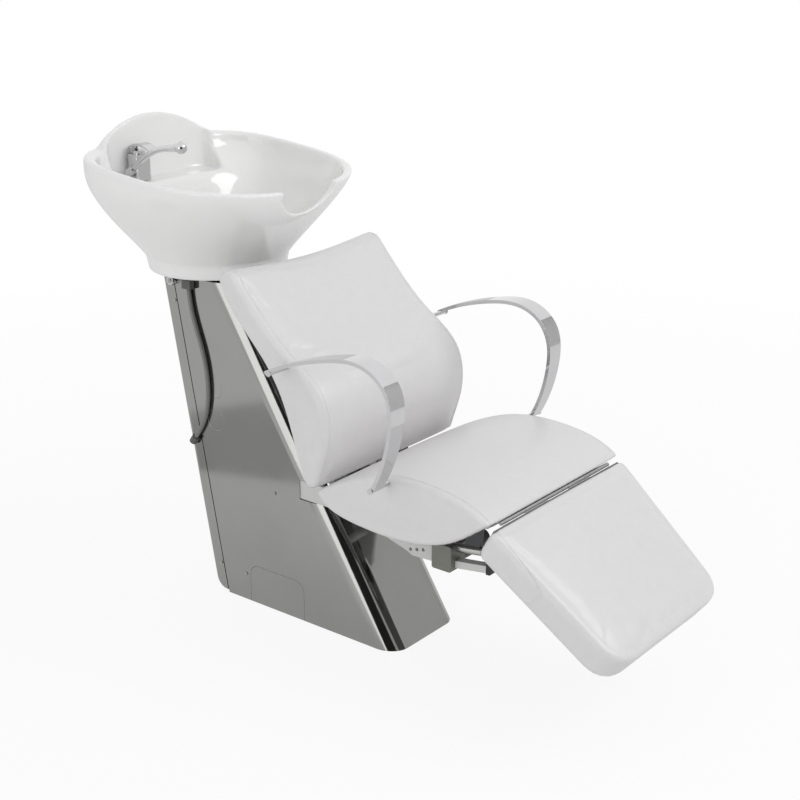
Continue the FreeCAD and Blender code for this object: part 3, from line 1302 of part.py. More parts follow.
def leg_section(u, inset):
    """Closed section across the legrest, crowned on its face."""
    left_over = s.leg_length - u
    half = leg_half(u) - inset
    if left_over < low_corner:
        half -= low_corner - math.sqrt(low_corner ** 2 - (low_corner - left_over) ** 2)
    hump = s.leg_crown * (0.1 + 0.9 * math.sin(math.pi * min(max(u / s.leg_length, 0.0), 1.0)) ** 0.5)
    face = -s.leg_face + inset
    rear = leg_rear - inset
    turn = leg_round * (1 - math.sqrt(0.5))

    def place(x, v):
        lean = (leg_top_at(v) - leg_top) * (1 - u / s.leg_length)
        return Vector(x, u + leg_top + lean, v)

    corners = []
    for way in (1, -1):
        side = way * half
        corners.append(Part.Arc(place(side, face + leg_round), place(side - way * turn, face + turn),
                                place(side - way * leg_round, face)))
        corners.append(Part.Arc(place(side - way * leg_round, rear), place(side - way * turn, rear - turn),
                                place(side, rear - leg_round)))
    left_face, left_rear, right_face, right_rear = corners
    face_arc = Part.Arc(left_face.EndPoint, place(0, face - hump), right_face.EndPoint)
    right_side = Part.LineSegment(right_face.StartPoint, right_rear.EndPoint)
    back = Part.LineSegment(right_rear.StartPoint, left_rear.StartPoint)
    left_side = Part.LineSegment(left_rear.EndPoint, left_face.StartPoint)
    loop = (left_face, face_arc, right_face, right_side, right_rear, back, left_rear, left_side)
    return Part.Wire([edge.toShape() for edge in loop])


LEG_ENDS = ((0.0, 9.0), (4.0, 4.0), (8.0, 1.6), (12.0, 0.4), (16.0, 0.0))
top_run = [leg_section(u, inset) for u, inset in LEG_ENDS]
leg_bays = 5
low_start = s.leg_length - low_corner
mid_run = [leg_section(blend(LEG_ENDS[-1][0], low_start, i / leg_bays), 0.0) for i in range(leg_bays + 1)]
low_insets = (0.0, 0.0, 0.0, 0.6, 2.2, 5.0, 9.0)
low_run = [leg_section(low_start + low_corner * math.sin(math.pi / 2 * i / 6), inset)
           for i, inset in enumerate(low_insets)]
leg_bodies = [Part.makeLoft(run, True, False) for run in (top_run, mid_run, low_run)]
leg_blank = shaped("leg_blank", leg_bodies[0].fuse(leg_bodies[1:]))


def leg_board(name, grow=0.0, through=0.0):
    """Panel in the legrest's rear with a flange along its top end."""
    low = s.leg_length - s.board_inset - 6.0 + grow
    high = leg_top_at(leg_rear)
    inset = s.board_inset - grow
    panel = extrude(name + "_panel", "XY_Plane", rounded([
        (leg_half(high) - inset, high), (leg_half(low) - inset, low, low_corner - s.board_inset),
        (inset - leg_half(low), low, low_corner - s.board_inset), (inset - leg_half(high), high)]),
        "%f" % (s.board_thick + grow + through), leg_rear - s.board_thick - grow, False)
    flange_start = -1.0 - grow
    flange = side_body(name + "_flange", rounded([
        (leg_top_at(flange_start) - through, flange_start), (leg_top_at(flange_start) + s.board_thick + grow, flange_start),
        (leg_top_at(leg_rear + through) + s.board_thick + grow, leg_rear + through),
        (leg_top_at(leg_rear + through) - through, leg_rear + through)]),
        "%f" % (2 * (leg_half(high) - inset)))
    return fuse(name, panel, flange)


leg_leaf_reach = s.leaf_length
lean_angle = math.degrees(math.atan(top_lean))


def leg_leaf_plate(name, grow=0.0):
    """Leaf on the legrest's top end."""
    plate = box(name, (0, 0, 0), (s.hinge_length + 2 * grow, s.leaf_thick + grow, leg_leaf_reach + grow))
    plate.Placement = Placement(Vector(-s.hinge_length / 2 - grow, leg_top_at(0) - s.leaf_thick / 2, 0),
                                Rotation(X_AXIS, -lean_angle))
    return plate


lever_x = -s.drive_offset
lever_half = 16.0
lever_near = 45.0
lever_far = 128.0
lever_reach = 147.0
cheek_gap = 8.0
lever_plate = 5.0
foot_thick = 4.0
slot_way = Vector(0.636, 0.772, 0)
slot_side = Vector(0.772, -0.636, 0)


def slot_point(reach, aside):
    """Place along the lever's slot line, counted from the hinge."""
    point = slot_way * reach + slot_side * aside
    return (point.x, point.y)


lever_cheeks = []
for side in (-1, 1):
    outline = rounded([(lever_near, leg_rear), (lever_far, leg_rear),
                       slot_point(lever_reach, lever_half) + (12.0,),
                       slot_point(lever_reach, -lever_half) + (12.0,)])
    lever_cheeks.append(side_body("lever_cheek_%d" % side, outline, "%f" % lever_plate,
                                  lever_x + side * (cheek_gap + lever_plate / 2)))
lever_foot_half = 28.0
lever_foot = box("lever_foot", (lever_x - lever_foot_half, lever_near - 5.0, leg_rear),
                 (lever_x + lever_foot_half, lever_far + 5.0, leg_rear + foot_thick))
slot_end = s.slot_half_width
slot_low = s.drive_depth - s.slot_half_width - 2.5
slot_high = s.drive_depth * 1.17 + s.slot_half_width + 2.5
lever_slot = side_body("lever_slot", rounded([
    slot_point(slot_low, -slot_end) + (slot_end - 0.5,), slot_point(slot_low, slot_end) + (slot_end - 0.5,),
    slot_point(slot_high, slot_end) + (slot_end - 0.5,), slot_point(slot_high, -slot_end) + (slot_end - 0.5,)]),
    "4 * %f" % (cheek_gap + lever_plate), lever_x)
lever_spots = [(lever_x + x, y) for x in (-20.0, 20.0) for y in (lever_near + 5.0, lever_far - 5.0)]
screw_bite = 8.0
lever_screw_holes = [rod("lever_screw_hole_%d" % i, "z", (x, y, leg_rear - screw_bite), "Sizes.screw_radius",
                         2 * over) for i, (x, y) in enumerate(lever_spots)]
levers = keep(cut("lever_fuse_cut", fuse("lever_all", *lever_cheeks, lever_foot), lever_slot,
                  *lever_screw_holes), "legrest_levers")
board_screw_holes = [rod("board_screw_hole_%d" % i, "z", (x, y, leg_rear - screw_bite), "Sizes.screw_radius",
                         2 * over) for i, (x, y) in enumerate(lever_spots)]
legrest_board = keep(cut("leg_board_cut", leg_board("leg_board"), *board_screw_holes,
                         leg_leaf_plate("leg_leaf_recess")), "legrest_board")
legrest_cushion = keep(cut("leg_cushion_cut", leg_blank, leg_board("leg_pocket", s.soft_gap, over),
                           leg_leaf_plate("leg_leaf_pocket", s.soft_gap)), "legrest_cushion")
lever_screws = []
for i, (x, y) in enumerate(lever_spots):
    shank = rod("lever_screw_%d" % i, "z", (x, y, leg_rear - screw_bite), "Sizes.screw_radius",
                screw_bite + foot_thick)
    head = rod("lever_screw_head_%d" % i, "z", (x, y, leg_rear + foot_thick), "Sizes.screw_head",
               "Sizes.screw_head_thick")
    lever_screws.append(fuse("lever_screw_fuse_%d" % i, shank, head))
lever_screw_group = keep(group("lever_screw_group", *lever_screws), "lever_screws")

# Hinge: five knuckles, the odd ones on the seat's leaf, the even ones on the legrest's

knuckle_count = 5
knuckle_length = s.hinge_length / knuckle_count
knuckle_gap = 0.5
seat_knuckles = []
leg_knuckles = []
for i in range(knuckle_count):
    start = -s.hinge_length / 2 + i * knuckle_length + knuckle_gap / 2
    if i % 2:
        leg_knuckles.append(rod("knuckle_%d" % i, "x", (start, 0, 0), "Sizes.knuckle_radius",
                                knuckle_length - knuckle_gap))
        leg_knuckles.append(box("knuckle_web_%d" % i, (start, 0, -1.0),
                                (start + knuckle_length - knuckle_gap,
                                 leg_top_at(0) - s.leaf_thick / 4, 1.0)))
    else:
        seat_knuckles.append(rod("knuckle_%d" % i, "x", (start, s.hinge_y, s.hinge_z), "Sizes.knuckle_radius",
                                 knuckle_length - knuckle_gap))
leaf_front_gap = s.knuckle_radius + 1.0
seat_leaf_blank = seat_leaf_plate("seat_leaf")
seat_gaps = [rod("seat_leaf_gap_%d" % i, "x", (-s.hinge_length / 2 + i * knuckle_length - knuckle_gap / 2,
                                               s.hinge_y, s.hinge_z), leaf_front_gap,
                 knuckle_length + knuckle_gap) for i in range(1, knuckle_count, 2)]
hinge_bore = rod("hinge_bore", "x", (-s.hinge_length / 2 - over, s.hinge_y, s.hinge_z), "Sizes.hinge_pin_radius",
                 s.hinge_length + 2 * over)
keep(cut("seat_leaf_cut", fuse("seat_leaf_fuse", seat_leaf_blank, *seat_knuckles), *seat_gaps, hinge_bore),
     "hinge_seat_leaf")
leg_leaf_blank = leg_leaf_plate("leg_leaf")
leg_bore = rod("leg_hinge_bore", "x", (-s.hinge_length / 2 - over, 0, 0),
               "Sizes.hinge_pin_radius + Sizes.hinge_running", s.hinge_length + 2 * over)
leg_leaf = keep(cut("leg_leaf_cut", fuse("leg_leaf_fuse", leg_leaf_blank, *leg_knuckles), leg_bore),
                "hinge_leg_leaf")
keep(rod("hinge_pin_bar", "x", (-s.hinge_length / 2, s.hinge_y, s.hinge_z), "Sizes.hinge_pin_radius",
         "Sizes.hinge_length"), "hinge_pin")
for piece in (levers, legrest_board, legrest_cushion, lever_screw_group, leg_leaf):
    piece.Placement = leg_frame

# Legrest drive: gearbox and motor on the carrier arm, tube, sliding rod and its cross pin

slope = math.radians(s.drive_slope)
drive_way = Vector(0, -math.cos(slope), math.sin(slope))
drive_x = -s.drive_offset
tube_through = Vector(drive_x, -180.0, 300.0)


def on_drive(y):
    """Place on the drive's centre line."""
    return tube_through + drive_way * ((y - tube_through.y) / drive_way.y)


tube_length = (on_drive(s.drive_front) - on_drive(s.drive_rear)).Length
tube_outer = rod("drive_outer", drive_way, on_drive(s.drive_rear), "Sizes.drive_tube_radius", tube_length)
tube_inner = rod("drive_inner", drive_way, on_drive(s.drive_rear + over),
                 "Sizes.drive_rod_radius + Sizes.drive_running", tube_length + 2 * over)
keep(cut("drive_tube_cut", tube_outer, tube_inner), "drive_tube")
box_low = 246.0
gear_corner = 5.0
gear_block = extrude("gear_block", "YZ_Plane",
                     rectangle(s.box_front, box_low, s.box_rear, box_low + s.box_height, gear_corner),
                     "Sizes.box_width", drive_x)
tube_seat = rod("tube_seat", drive_way, on_drive(s.drive_rear + over), "Sizes.drive_tube_radius",
                tube_length + 2 * over)
keep(cut("gearbox_cut", gear_block, tube_seat), "drive_gearbox")
motor_at = (-124.0, 269.0)
motor_start = drive_x + s.box_width / 2
motor_can = rod("motor_can", "x", (motor_start, *motor_at), "Sizes.motor_radius", "Sizes.motor_length")
motor_cap = rod("motor_cap", "x", (motor_start + s.motor_length, *motor_at), s.motor_radius - 4.0, 7.0)
motor_plug = rod("motor_plug", "x", (motor_start + s.motor_length + 7.0, motor_at[0], motor_at[1]), 5.0, 9.0)
keep(fuse("motor_fuse", motor_can, motor_cap, motor_plug), "drive_motor")
guide_thick = 9.0
guide_half = 14.0
guide_low = on_drive(s.drive_front).z - 24.0
guide_high = on_drive(s.drive_front).z + 26.0
guide_block = extrude("guide_block", "YZ_Plane",
                      rectangle(s.drive_front - guide_thick, guide_low, s.drive_front, guide_high, 3.0),
                      "%f" % (2 * guide_half), drive_x)
guide_bore = rod("guide_bore", drive_way, on_drive(s.drive_rear), "Sizes.drive_rod_radius + Sizes.drive_running",
                 tube_length + 3 * over)
guide_tube = rod("guide_tube", drive_way, on_drive(s.drive_rear), "Sizes.drive_tube_radius", tube_length)
keep(cut("guide_cut", guide_block, guide_bore, guide_tube), "drive_guide")
rail_drop = s.drive_tube_radius + s.rail_height + 1.5
drive_rail = extrude("drive_rail_bar", "YZ_Plane", rounded([
    (s.box_front, on_drive(s.box_front).z - rail_drop), (s.box_front, on_drive(s.box_front).z - rail_drop - s.rail_height),
    (s.drive_front + 6.0, on_drive(s.drive_front + 6.0).z - rail_drop - s.rail_height),
    (s.drive_front + 6.0, on_drive(s.drive_front + 6.0).z - rail_drop)]), "Sizes.rail_width", drive_x)
keep(drive_rail, "drive_rail")
cap_half = 12.0
rail_end = s.drive_front + 6.0
cap_low = on_drive(rail_end).z - rail_drop - s.rail_height - 2.0
rail_cap = extrude("rail_cap_block", "YZ_Plane", rounded([
    (rail_end, cap_low), (rail_end - 12.0, cap_low, 4.0), (rail_end - 12.0, guide_low), (rail_end, guide_low)]),
    "%f" % (2 * cap_half), drive_x)
keep(rail_cap, "drive_rail_cap")
hanger_thick = 6.0
hanger = side_body("hanger_blank", rounded([
    (-205.0, on_drive(-205.0).z), (-170.0, on_drive(-170.0).z), (-170.0, 365.0), (-222.0, 390.0)]),
    "%f" % hanger_thick, drive_x)
hanger_trim = strip("hanger_trim", seat_bottom, pan_start, pan_end, 0.0, s.board_thick * 3, pan_length)
hanger_seat = rod("hanger_seat", drive_way, on_drive(s.drive_rear), "Sizes.drive_tube_radius", tube_length)
keep(cut("hanger_cut", hanger, hanger_trim, hanger_seat), "drive_hanger")

rest_shift = s.drive_depth * math.tan(math.radians(s.mid_angle))
foot_of_hinge = tube_through + drive_way * ((Vector(drive_x, s.hinge_y, s.hinge_z) - tube_through) * drive_way)
eye_at = foot_of_hinge - drive_way * rest_shift
eye_radius = 10.0
eye_width = 14.0
rod_length = 196.0
rod_bar = rod("drive_rod_bar", -drive_way, eye_at, "Sizes.drive_rod_radius", rod_length)
eye = rod("drive_eye", "x", (drive_x - eye_width / 2, eye_at.y, eye_at.z), eye_radius, eye_width)
eye_bore = rod("eye_bore", "x", (drive_x - over, eye_at.y, eye_at.z), "Sizes.drive_pin_radius", 2 * over)
keep(cut("drive_rod_cut", fuse("drive_rod_fuse", rod_bar, eye), eye_bore), "drive_rod")
pin_half = cheek_gap + lever_plate + 1.0
cross_pin = rod("cross_pin", "x", (drive_x - pin_half, eye_at.y, eye_at.z), "Sizes.drive_pin_radius",
                2 * pin_half)
pin_heads = [rod("cross_pin_head_%d" % side, Vector(side, 0, 0), (drive_x + side * pin_half, eye_at.y, eye_at.z),
                 s.drive_pin_radius + 2.5, 2.0) for side in (-1, 1)]
keep(fuse("cross_pin_fuse", cross_pin, *pin_heads), "drive_cross_pin")

# Shell screws, both sides

shell_screws = []
for side in (-1, 1):
    outward = Vector(side, 0, 0)
    for i, (y, z) in enumerate(side_screws):
        if side < 0 and i == 1:
            continue
        inner = frame_inner_face
        shank = rod("shell_screw_%d_%d" % (side, i), outward, (side * inner, y, z), "Sizes.screw_radius",
                    half_column - inner)
        head = rod("shell_screw_head_%d_%d" % (side, i), outward, (side * half_column, y, z), "Sizes.screw_head",
                   "Sizes.screw_head_thick")
        shell_screws.append(fuse("shell_screw_fuse_%d_%d" % (side, i), shank, head))
keep(group("shell_screw_group", *shell_screws), "shell_screws")

# Move the origin to the anchor centre, check every object and write the pieces

doc.recompute()
for piece in parts:
    piece.Placement = Placement(Vector(0, -s.anchor_centre, 0), Rotation()).multiply(piece.Placement)
doc.recompute()
for item in doc.Objects:
    if "Invalid" in item.State or "Error" in item.State:
        raise ValueError("%s did not compute" % item.Name)
os.makedirs("parts", exist_ok=True)
for piece in parts:
    if piece.Shape.isNull() or not piece.Shape.isValid():
        raise ValueError("%s is not sound" % piece.Label)
    piece.Shape.exportStep("parts/%s.step" % piece.Label)
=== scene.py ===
import math

import bpy
import numpy as np
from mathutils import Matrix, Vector
from mathutils.bvhtree import BVHTree


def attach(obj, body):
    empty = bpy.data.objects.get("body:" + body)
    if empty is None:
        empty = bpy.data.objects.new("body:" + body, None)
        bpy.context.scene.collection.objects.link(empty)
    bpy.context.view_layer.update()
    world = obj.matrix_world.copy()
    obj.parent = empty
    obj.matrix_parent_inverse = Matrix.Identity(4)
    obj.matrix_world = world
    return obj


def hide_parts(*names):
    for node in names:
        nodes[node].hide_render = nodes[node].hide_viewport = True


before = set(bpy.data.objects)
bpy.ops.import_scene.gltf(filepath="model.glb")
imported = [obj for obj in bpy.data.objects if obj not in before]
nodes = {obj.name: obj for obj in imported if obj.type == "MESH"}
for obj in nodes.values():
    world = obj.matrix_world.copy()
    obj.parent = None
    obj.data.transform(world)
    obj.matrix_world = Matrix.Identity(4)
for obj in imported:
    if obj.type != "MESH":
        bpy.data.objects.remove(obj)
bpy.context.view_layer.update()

scene = bpy.context.scene


# ---- Viewpoint ------------------------------------------------------------------
# The camera stands in front of the sitter's right hand, a little above the basin,
# and looks down on the unit with a longish lens.

view_place = Vector((-2.373, -2.065, 1.588))
view_back = Vector((-0.742, -0.586, 0.326))
view_lens = 66.6
camera_data = bpy.data.cameras.new("camera")
camera_data.lens = view_lens
camera_data.sensor_width = 36.0
camera = bpy.data.objects.new("camera", camera_data)
scene.collection.objects.link(camera)
camera.location = view_place
camera.rotation_mode = "QUATERNION"
camera.rotation_quaternion = (-view_back).to_track_quat("-Z", "Y")
scene.camera = camera


# ---- Base plate and inner frame -------------------------------------------------
# Laser-cut steel plates under dark satin powder coat, welded to three cross tubes and
# bolted to the floor plate. They stand inside the column and carry the basin's pin.

def new_group(name, inputs, outputs):
    """Empty shader group with its sockets and its two end nodes."""
    group = bpy.data.node_groups.new(name, "ShaderNodeTree")
    for word, kind, value in inputs:
        socket = group.interface.new_socket(word, in_out="INPUT", socket_type=kind)
        socket.default_value = value
    for word in outputs:
        group.interface.new_socket(word, in_out="OUTPUT", socket_type="NodeSocketFloat")
    return group, group.nodes.new("NodeGroupInput"), group.nodes.new("NodeGroupOutput")


# fine pebble of powder coat, moulded and upholstered skins
pebble, given, put = new_group(
    "pebbled_skin",
    [("Grain Size", "NodeSocketFloat", 900.0), ("Crease Size", "NodeSocketFloat", 60.0),
     ("Creases", "NodeSocketFloat", 0.4)],
    ["Height", "Mask"])
place = pebble.nodes.new("ShaderNodeTexCoord")
cells = pebble.nodes.new("ShaderNodeTexVoronoi")
cells.feature = "SMOOTH_F1"
cells.inputs["Smoothness"].default_value = 0.6
soft = pebble.nodes.new("ShaderNodeTexNoise")
soft.inputs["Detail"].default_value = 5.0
soft.inputs["Distortion"].default_value = 0.6
creased = pebble.nodes.new("ShaderNodeMath")
creased.operation = "MULTIPLY_ADD"
pebble.links.new(place.outputs["Object"], cells.inputs["Vector"])
pebble.links.new(place.outputs["Object"], soft.inputs["Vector"])
pebble.links.new(given.outputs["Grain Size"], cells.inputs["Scale"])
pebble.links.new(given.outputs["Crease Size"], soft.inputs["Scale"])
pebble.links.new(soft.outputs["Fac"], creased.inputs[0])
pebble.links.new(given.outputs["Creases"], creased.inputs[1])
pebble.links.new(cells.outputs["Distance"], creased.inputs[2])
pebble.links.new(creased.outputs[0], put.inputs["Height"])
pebble.links.new(soft.outputs["Fac"], put.inputs["Mask"])

# soft cloud of handling and dust
dust, given, put = new_group(
    "handling_cloud",
    [("Size", "NodeSocketFloat", 14.0), ("Speck Size", "NodeSocketFloat", 420.0)],
    ["Height", "Mask"])
place = dust.nodes.new("ShaderNodeTexCoord")
broad = dust.nodes.new("ShaderNodeTexNoise")
broad.inputs["Detail"].default_value = 6.0
broad.inputs["Roughness"].default_value = 0.62
speck = dust.nodes.new("ShaderNodeTexNoise")
speck.inputs["Detail"].default_value = 2.0
dust.links.new(place.outputs["Object"], broad.inputs["Vector"])
dust.links.new(place.outputs["Object"], speck.inputs["Vector"])
dust.links.new(given.outputs["Size"], broad.inputs["Scale"])
dust.links.new(given.outputs["Speck Size"], speck.inputs["Scale"])
dust.links.new(speck.outputs["Fac"], put.inputs["Height"])
dust.links.new(broad.outputs["Fac"], put.inputs["Mask"])


def finish(name, light, dark, rough, group, values, depth,
           metallic=0.0, coat=0.0, edge=0.0):
    """Surface whose colour and gloss drift with an effect's mask, with its relief as bump."""
    made = bpy.data.materials.new(name)
    made.use_nodes = True
    tree = made.node_tree
    shader = tree.nodes["Principled BSDF"]
    shader.inputs["Metallic"].default_value = metallic
    shader.inputs["Coat Weight"].default_value = coat
    shader.inputs["Coat Roughness"].default_value = 0.04
    effect = tree.nodes.new("ShaderNodeGroup")
    effect.node_tree = group
    for word, value in values.items():
        effect.inputs[word].default_value = value
    colours = tree.nodes.new("ShaderNodeMix")
    colours.data_type = "RGBA"
    colours.inputs[6].default_value = (*dark, 1)
    colours.inputs[7].default_value = (*light, 1)
    gloss = tree.nodes.new("ShaderNodeMapRange")
    gloss.inputs["From Min"].default_value = 0.3
    gloss.inputs["From Max"].default_value = 0.8
    gloss.inputs["To Min"].default_value = rough[0]
    gloss.inputs["To Max"].default_value = rough[1]
    relief = tree.nodes.new("ShaderNodeBump")
    relief.inputs["Distance"].default_value = depth
    relief.inputs["Strength"].default_value = 0.6
    if edge:
        softened = tree.nodes.new("ShaderNodeBevel")
        softened.samples = 4
        softened.inputs["Radius"].default_value = edge
        tree.links.new(softened.outputs["Normal"], relief.inputs["Normal"])
    tree.links.new(effect.outputs["Mask"], colours.inputs[0])
    tree.links.new(colours.outputs[2], shader.inputs["Base Color"])
    tree.links.new(effect.outputs["Mask"], gloss.inputs["Value"])
    tree.links.new(gloss.outputs["Result"], shader.inputs["Roughness"])
    tree.links.new(effect.outputs["Height"], relief.inputs["Height"])
    tree.links.new(relief.outputs["Normal"], shader.inputs["Normal"])
    return made


def dress(finished, *names):
    """Give CAD nodes a finish."""
    for name in names:
        skin = nodes[name].data.materials
        skin.clear()
        skin.append(finished)


frame_coat = finish(
    "frame_coat", (0.085, 0.088, 0.092), (0.055, 0.057, 0.06), (0.42, 0.56), pebble,
    {"Grain Size": 700.0, "Crease Size": 30.0, "Creases": 0.3}, 0.00008, edge=0.0006)
dress(frame_coat, "base_plate", "frame_plate_right", "frame_plate_left", "frame_cross_tubes",
      "basin_cradle", "back_brackets", "seat_rails", "legrest_levers", "drive_hanger")
zinc = finish(
    "zinc_plate", (0.50, 0.51, 0.50), (0.36, 0.37, 0.37), (0.24, 0.40), dust,
    {"Size": 60.0, "Speck Size": 900.0}, 0.00002, metallic=1.0, edge=0.0004)
dress(zinc, "tilt_pin", "basin_bolts", "carrier_bolts", "seat_bolts", "lever_screws",
      "shell_screws", "hinge_seat_leaf", "hinge_leg_leaf", "hinge_pin", "drive_rod",
      "drive_cross_pin", "mixer_lever_pin")


# ---- Column ---------------------------------------------------------------------
# Polished stainless sheet with two wide front bends, closed at the back by a shallow
# cover behind a seam, with a small inspection flap low on its right side.

# drawn or brushed lines in metal
lines, given, put = new_group(
    "drawn_lines",
    [("Along", "NodeSocketVector", (1, 1, 1)), ("Fineness", "NodeSocketFloat", 900.0),
     ("Cloud Size", "NodeSocketFloat", 9.0)],
    ["Height", "Mask"])
place = lines.nodes.new("ShaderNodeTexCoord")
stretched = lines.nodes.new("ShaderNodeVectorMath")
stretched.operation = "MULTIPLY"
streaks = lines.nodes.new("ShaderNodeTexNoise")
streaks.inputs["Detail"].default_value = 3.0
cloud = lines.nodes.new("ShaderNodeTexNoise")
cloud.inputs["Detail"].default_value = 4.0
mixed = lines.nodes.new("ShaderNodeMath")
mixed.operation = "MULTIPLY_ADD"
mixed.inputs[1].default_value = 0.35
lines.links.new(place.outputs["Object"], stretched.inputs[0])
lines.links.new(given.outputs["Along"], stretched.inputs[1])
lines.links.new(stretched.outputs[0], streaks.inputs["Vector"])
lines.links.new(given.outputs["Fineness"], streaks.inputs["Scale"])
lines.links.new(place.outputs["Object"], cloud.inputs["Vector"])
lines.links.new(given.outputs["Cloud Size"], cloud.inputs["Scale"])
lines.links.new(streaks.outputs["Fac"], mixed.inputs[0])
lines.links.new(cloud.outputs["Fac"], mixed.inputs[2])
lines.links.new(streaks.outputs["Fac"], put.inputs["Height"])
lines.links.new(mixed.outputs[0], put.inputs["Mask"])

steel = finish(
    "polished_sheet", (0.42, 0.42, 0.405), (0.36, 0.36, 0.35), (0.06, 0.11), lines,
    {"Along": (1.0, 1.0, 0.04), "Fineness": 700.0, "Cloud Size": 6.0}, 0.000006, metallic=1.0)
dress(steel, "column_shell", "rear_cover", "inspection_flap")


# ---- Knock-outs -----------------------------------------------------------------
# Two round blanks are half pressed out of the column's right side, where a hose could
# leave it. Only the fine raised edge of each shows in the polished sheet.

knockout_x = -0.1175
knockout_radius = 0.026
knockout_edge = 0.0005
knockout_flatness = 0.6
for name, y, z in (("knockout_high", 0.259, 0.511), ("knockout_low", 0.257, 0.433)):
    bpy.ops.object.select_all(action="DESELECT")
    bpy.ops.mesh.primitive_torus_add(
        major_radius=knockout_radius, minor_radius=knockout_edge, major_segments=72,
        minor_segments=8, location=(knockout_x, y, z), rotation=(0, math.pi / 2, 0))
    blank = bpy.context.active_object
    blank.name = name
    bpy.ops.object.transform_apply(location=True, rotation=True, scale=True)
    bpy.ops.object.mode_set(mode="EDIT")
    bpy.ops.mesh.select_all(action="SELECT")
    bpy.ops.transform.resize(value=(knockout_flatness, 1, 1), center_override=(knockout_x, y, z))
    bpy.ops.object.mode_set(mode="OBJECT")
    bpy.ops.object.shade_smooth()
    blank.data.materials.append(steel)
    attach(blank, "stand")


# ---- Side hose ------------------------------------------------------------------
# Grey hose in a ribbed skin, out of a dark fitting under the basin, down the column's
# side in a slack curve, and into the column through a rubber grommet.

hose_x = -0.124
hose_points = ((0.3205, 0.738), (0.3175, 0.705), (0.3095, 0.671), (0.297, 0.634),
               (0.284, 0.597), (0.2745, 0.557), (0.2705, 0.516), (0.273, 0.475),
               (0.283, 0.436), (0.3, 0.404), (0.318, 0.380))
hose_radius = 0.0052
hose_data = bpy.data.curves.new("side_hose_line", "CURVE")
hose_data.dimensions = "3D"
hose_data.bevel_depth = hose_radius
hose_data.bevel_resolution = 4
hose_data.use_fill_caps = True
hose_line = hose_data.splines.new("NURBS")
hose_line.points.add(len(hose_points) - 1)
for knot, (y, z) in zip(hose_line.points, hose_points):
    knot.co = (hose_x, y, z, 1.0)
hose_line.order_u = 3
hose_line.use_endpoint_u = True
hose_line.resolution_u = 10
hose = bpy.data.objects.new("side_hose_run", hose_data)
scene.collection.objects.link(hose)
hose_skin = finish(
    "hose_cover", (0.21, 0.21, 0.20), (0.15, 0.15, 0.14), (0.30, 0.42), lines,
    {"Along": (0.3, 0.3, 1.0), "Fineness": 420.0, "Cloud Size": 25.0}, 0.0002, coat=0.3)
hose_data.materials.append(hose_skin)
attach(hose, "stand")
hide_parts("side_hose")
moulded = finish(
    "moulded_black", (0.035, 0.035, 0.037), (0.02, 0.02, 0.021), (0.42, 0.58), pebble,
    {"Grain Size": 1100.0, "Crease Size": 40.0, "Creases": 0.5}, 0.00005, edge=0.0005)
dress(moulded, "bottle_trap", "drive_guide", "drive_rail_cap", "drive_motor")
grey_nylon = finish(
    "grey_nylon", (0.13, 0.13, 0.125), (0.09, 0.09, 0.085), (0.36, 0.5), pebble,
    {"Grain Size": 1100.0, "Crease Size": 40.0, "Creases": 0.5}, 0.00005, edge=0.0005)
dress(grey_nylon, "hose_fitting", "hose_grommet")


# ---- Chrome ---------------------------------------------------------------------
# Bright plating on the tap, spray, knob, drain and armrests: nearly flawless, with the
# faintest finger haze. Turned brass nuts and bushes and the basin's rubber pad join them.

chrome = finish(
    "bright_plating", (0.68, 0.68, 0.69), (0.60, 0.60, 0.61), (0.03, 0.09), dust,
    {"Size": 22.0, "Speck Size": 600.0}, 0.000003, metallic=1.0, edge=0.0006)
dress(chrome, "tilt_lock_knob", "mixer_body", "mixer_cap", "mixer_lever", "hand_spray",
      "drain_flange", "drain_strainer", "armrest_right", "armrest_left", "armrest_pins")
brass = finish(
    "turned_brass", (0.62, 0.44, 0.17), (0.46, 0.31, 0.11), (0.22, 0.36), lines,
    {"Along": (1.0, 1.0, 8.0), "Fineness": 160.0, "Cloud Size": 40.0}, 0.00002,
    metallic=1.0, edge=0.0004)
dress(brass, "drain_nut", "mixer_nut", "tilt_bushes")
rubber = finish(
    "black_rubber", (0.03, 0.03, 0.03), (0.018, 0.018, 0.018), (0.6, 0.78), pebble,
    {"Grain Size": 500.0, "Crease Size": 30.0, "Creases": 0.4}, 0.00006)
dress(rubber, "basin_rubber_pad")


# ---- Basin ----------------------------------------------------------------------
# One fired ceramic shell with a raised tap deck, a neck notch and a hollow foot. Every
# edge is drawn round by the glaze, so the body is remeshed and relaxed as one skin.

glaze = finish(
    "pale_glaze", (0.91, 0.91, 0.905), (0.88, 0.88, 0.875), (0.05, 0.09), dust,
    {"Size": 5.0, "Speck Size": 260.0}, 0.00003, coat=0.5)
dress(glaze, "basin_bowl")
basin_cell = 0.0045
basin_relax = 14


def only(piece):
    """Select one object and nothing else."""
    bpy.ops.object.select_all(action="DESELECT")
    piece.select_set(True)
    bpy.context.view_layer.objects.active = piece


def solid_copy(node, name):
    """The node's own solid as a new closed piece."""
    piece = bpy.data.objects.new(name, nodes[node].data.copy())
    scene.collection.objects.link(piece)
    only(piece)
    bpy.ops.mesh.customdata_custom_splitnormals_clear()
    bpy.ops.object.mode_set(mode="EDIT")
    bpy.ops.mesh.select_all(action="SELECT")
    bpy.ops.mesh.remove_doubles(threshold=0.00002)
    bpy.ops.object.mode_set(mode="OBJECT")
    piece.data.materials.clear()
    return piece


basin = solid_copy("basin_bowl", "basin_body")
basin.data.remesh_voxel_size = basin_cell
bpy.ops.object.voxel_remesh()
relax = basin.modifiers.new("relax", "SMOOTH")
relax.factor = 0.5
relax.iterations = basin_relax
bpy.ops.object.modifier_apply(modifier="relax")
bpy.ops.object.shade_smooth()
basin.data.materials.append(glaze)
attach(basin, "basin")
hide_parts("basin_bowl")


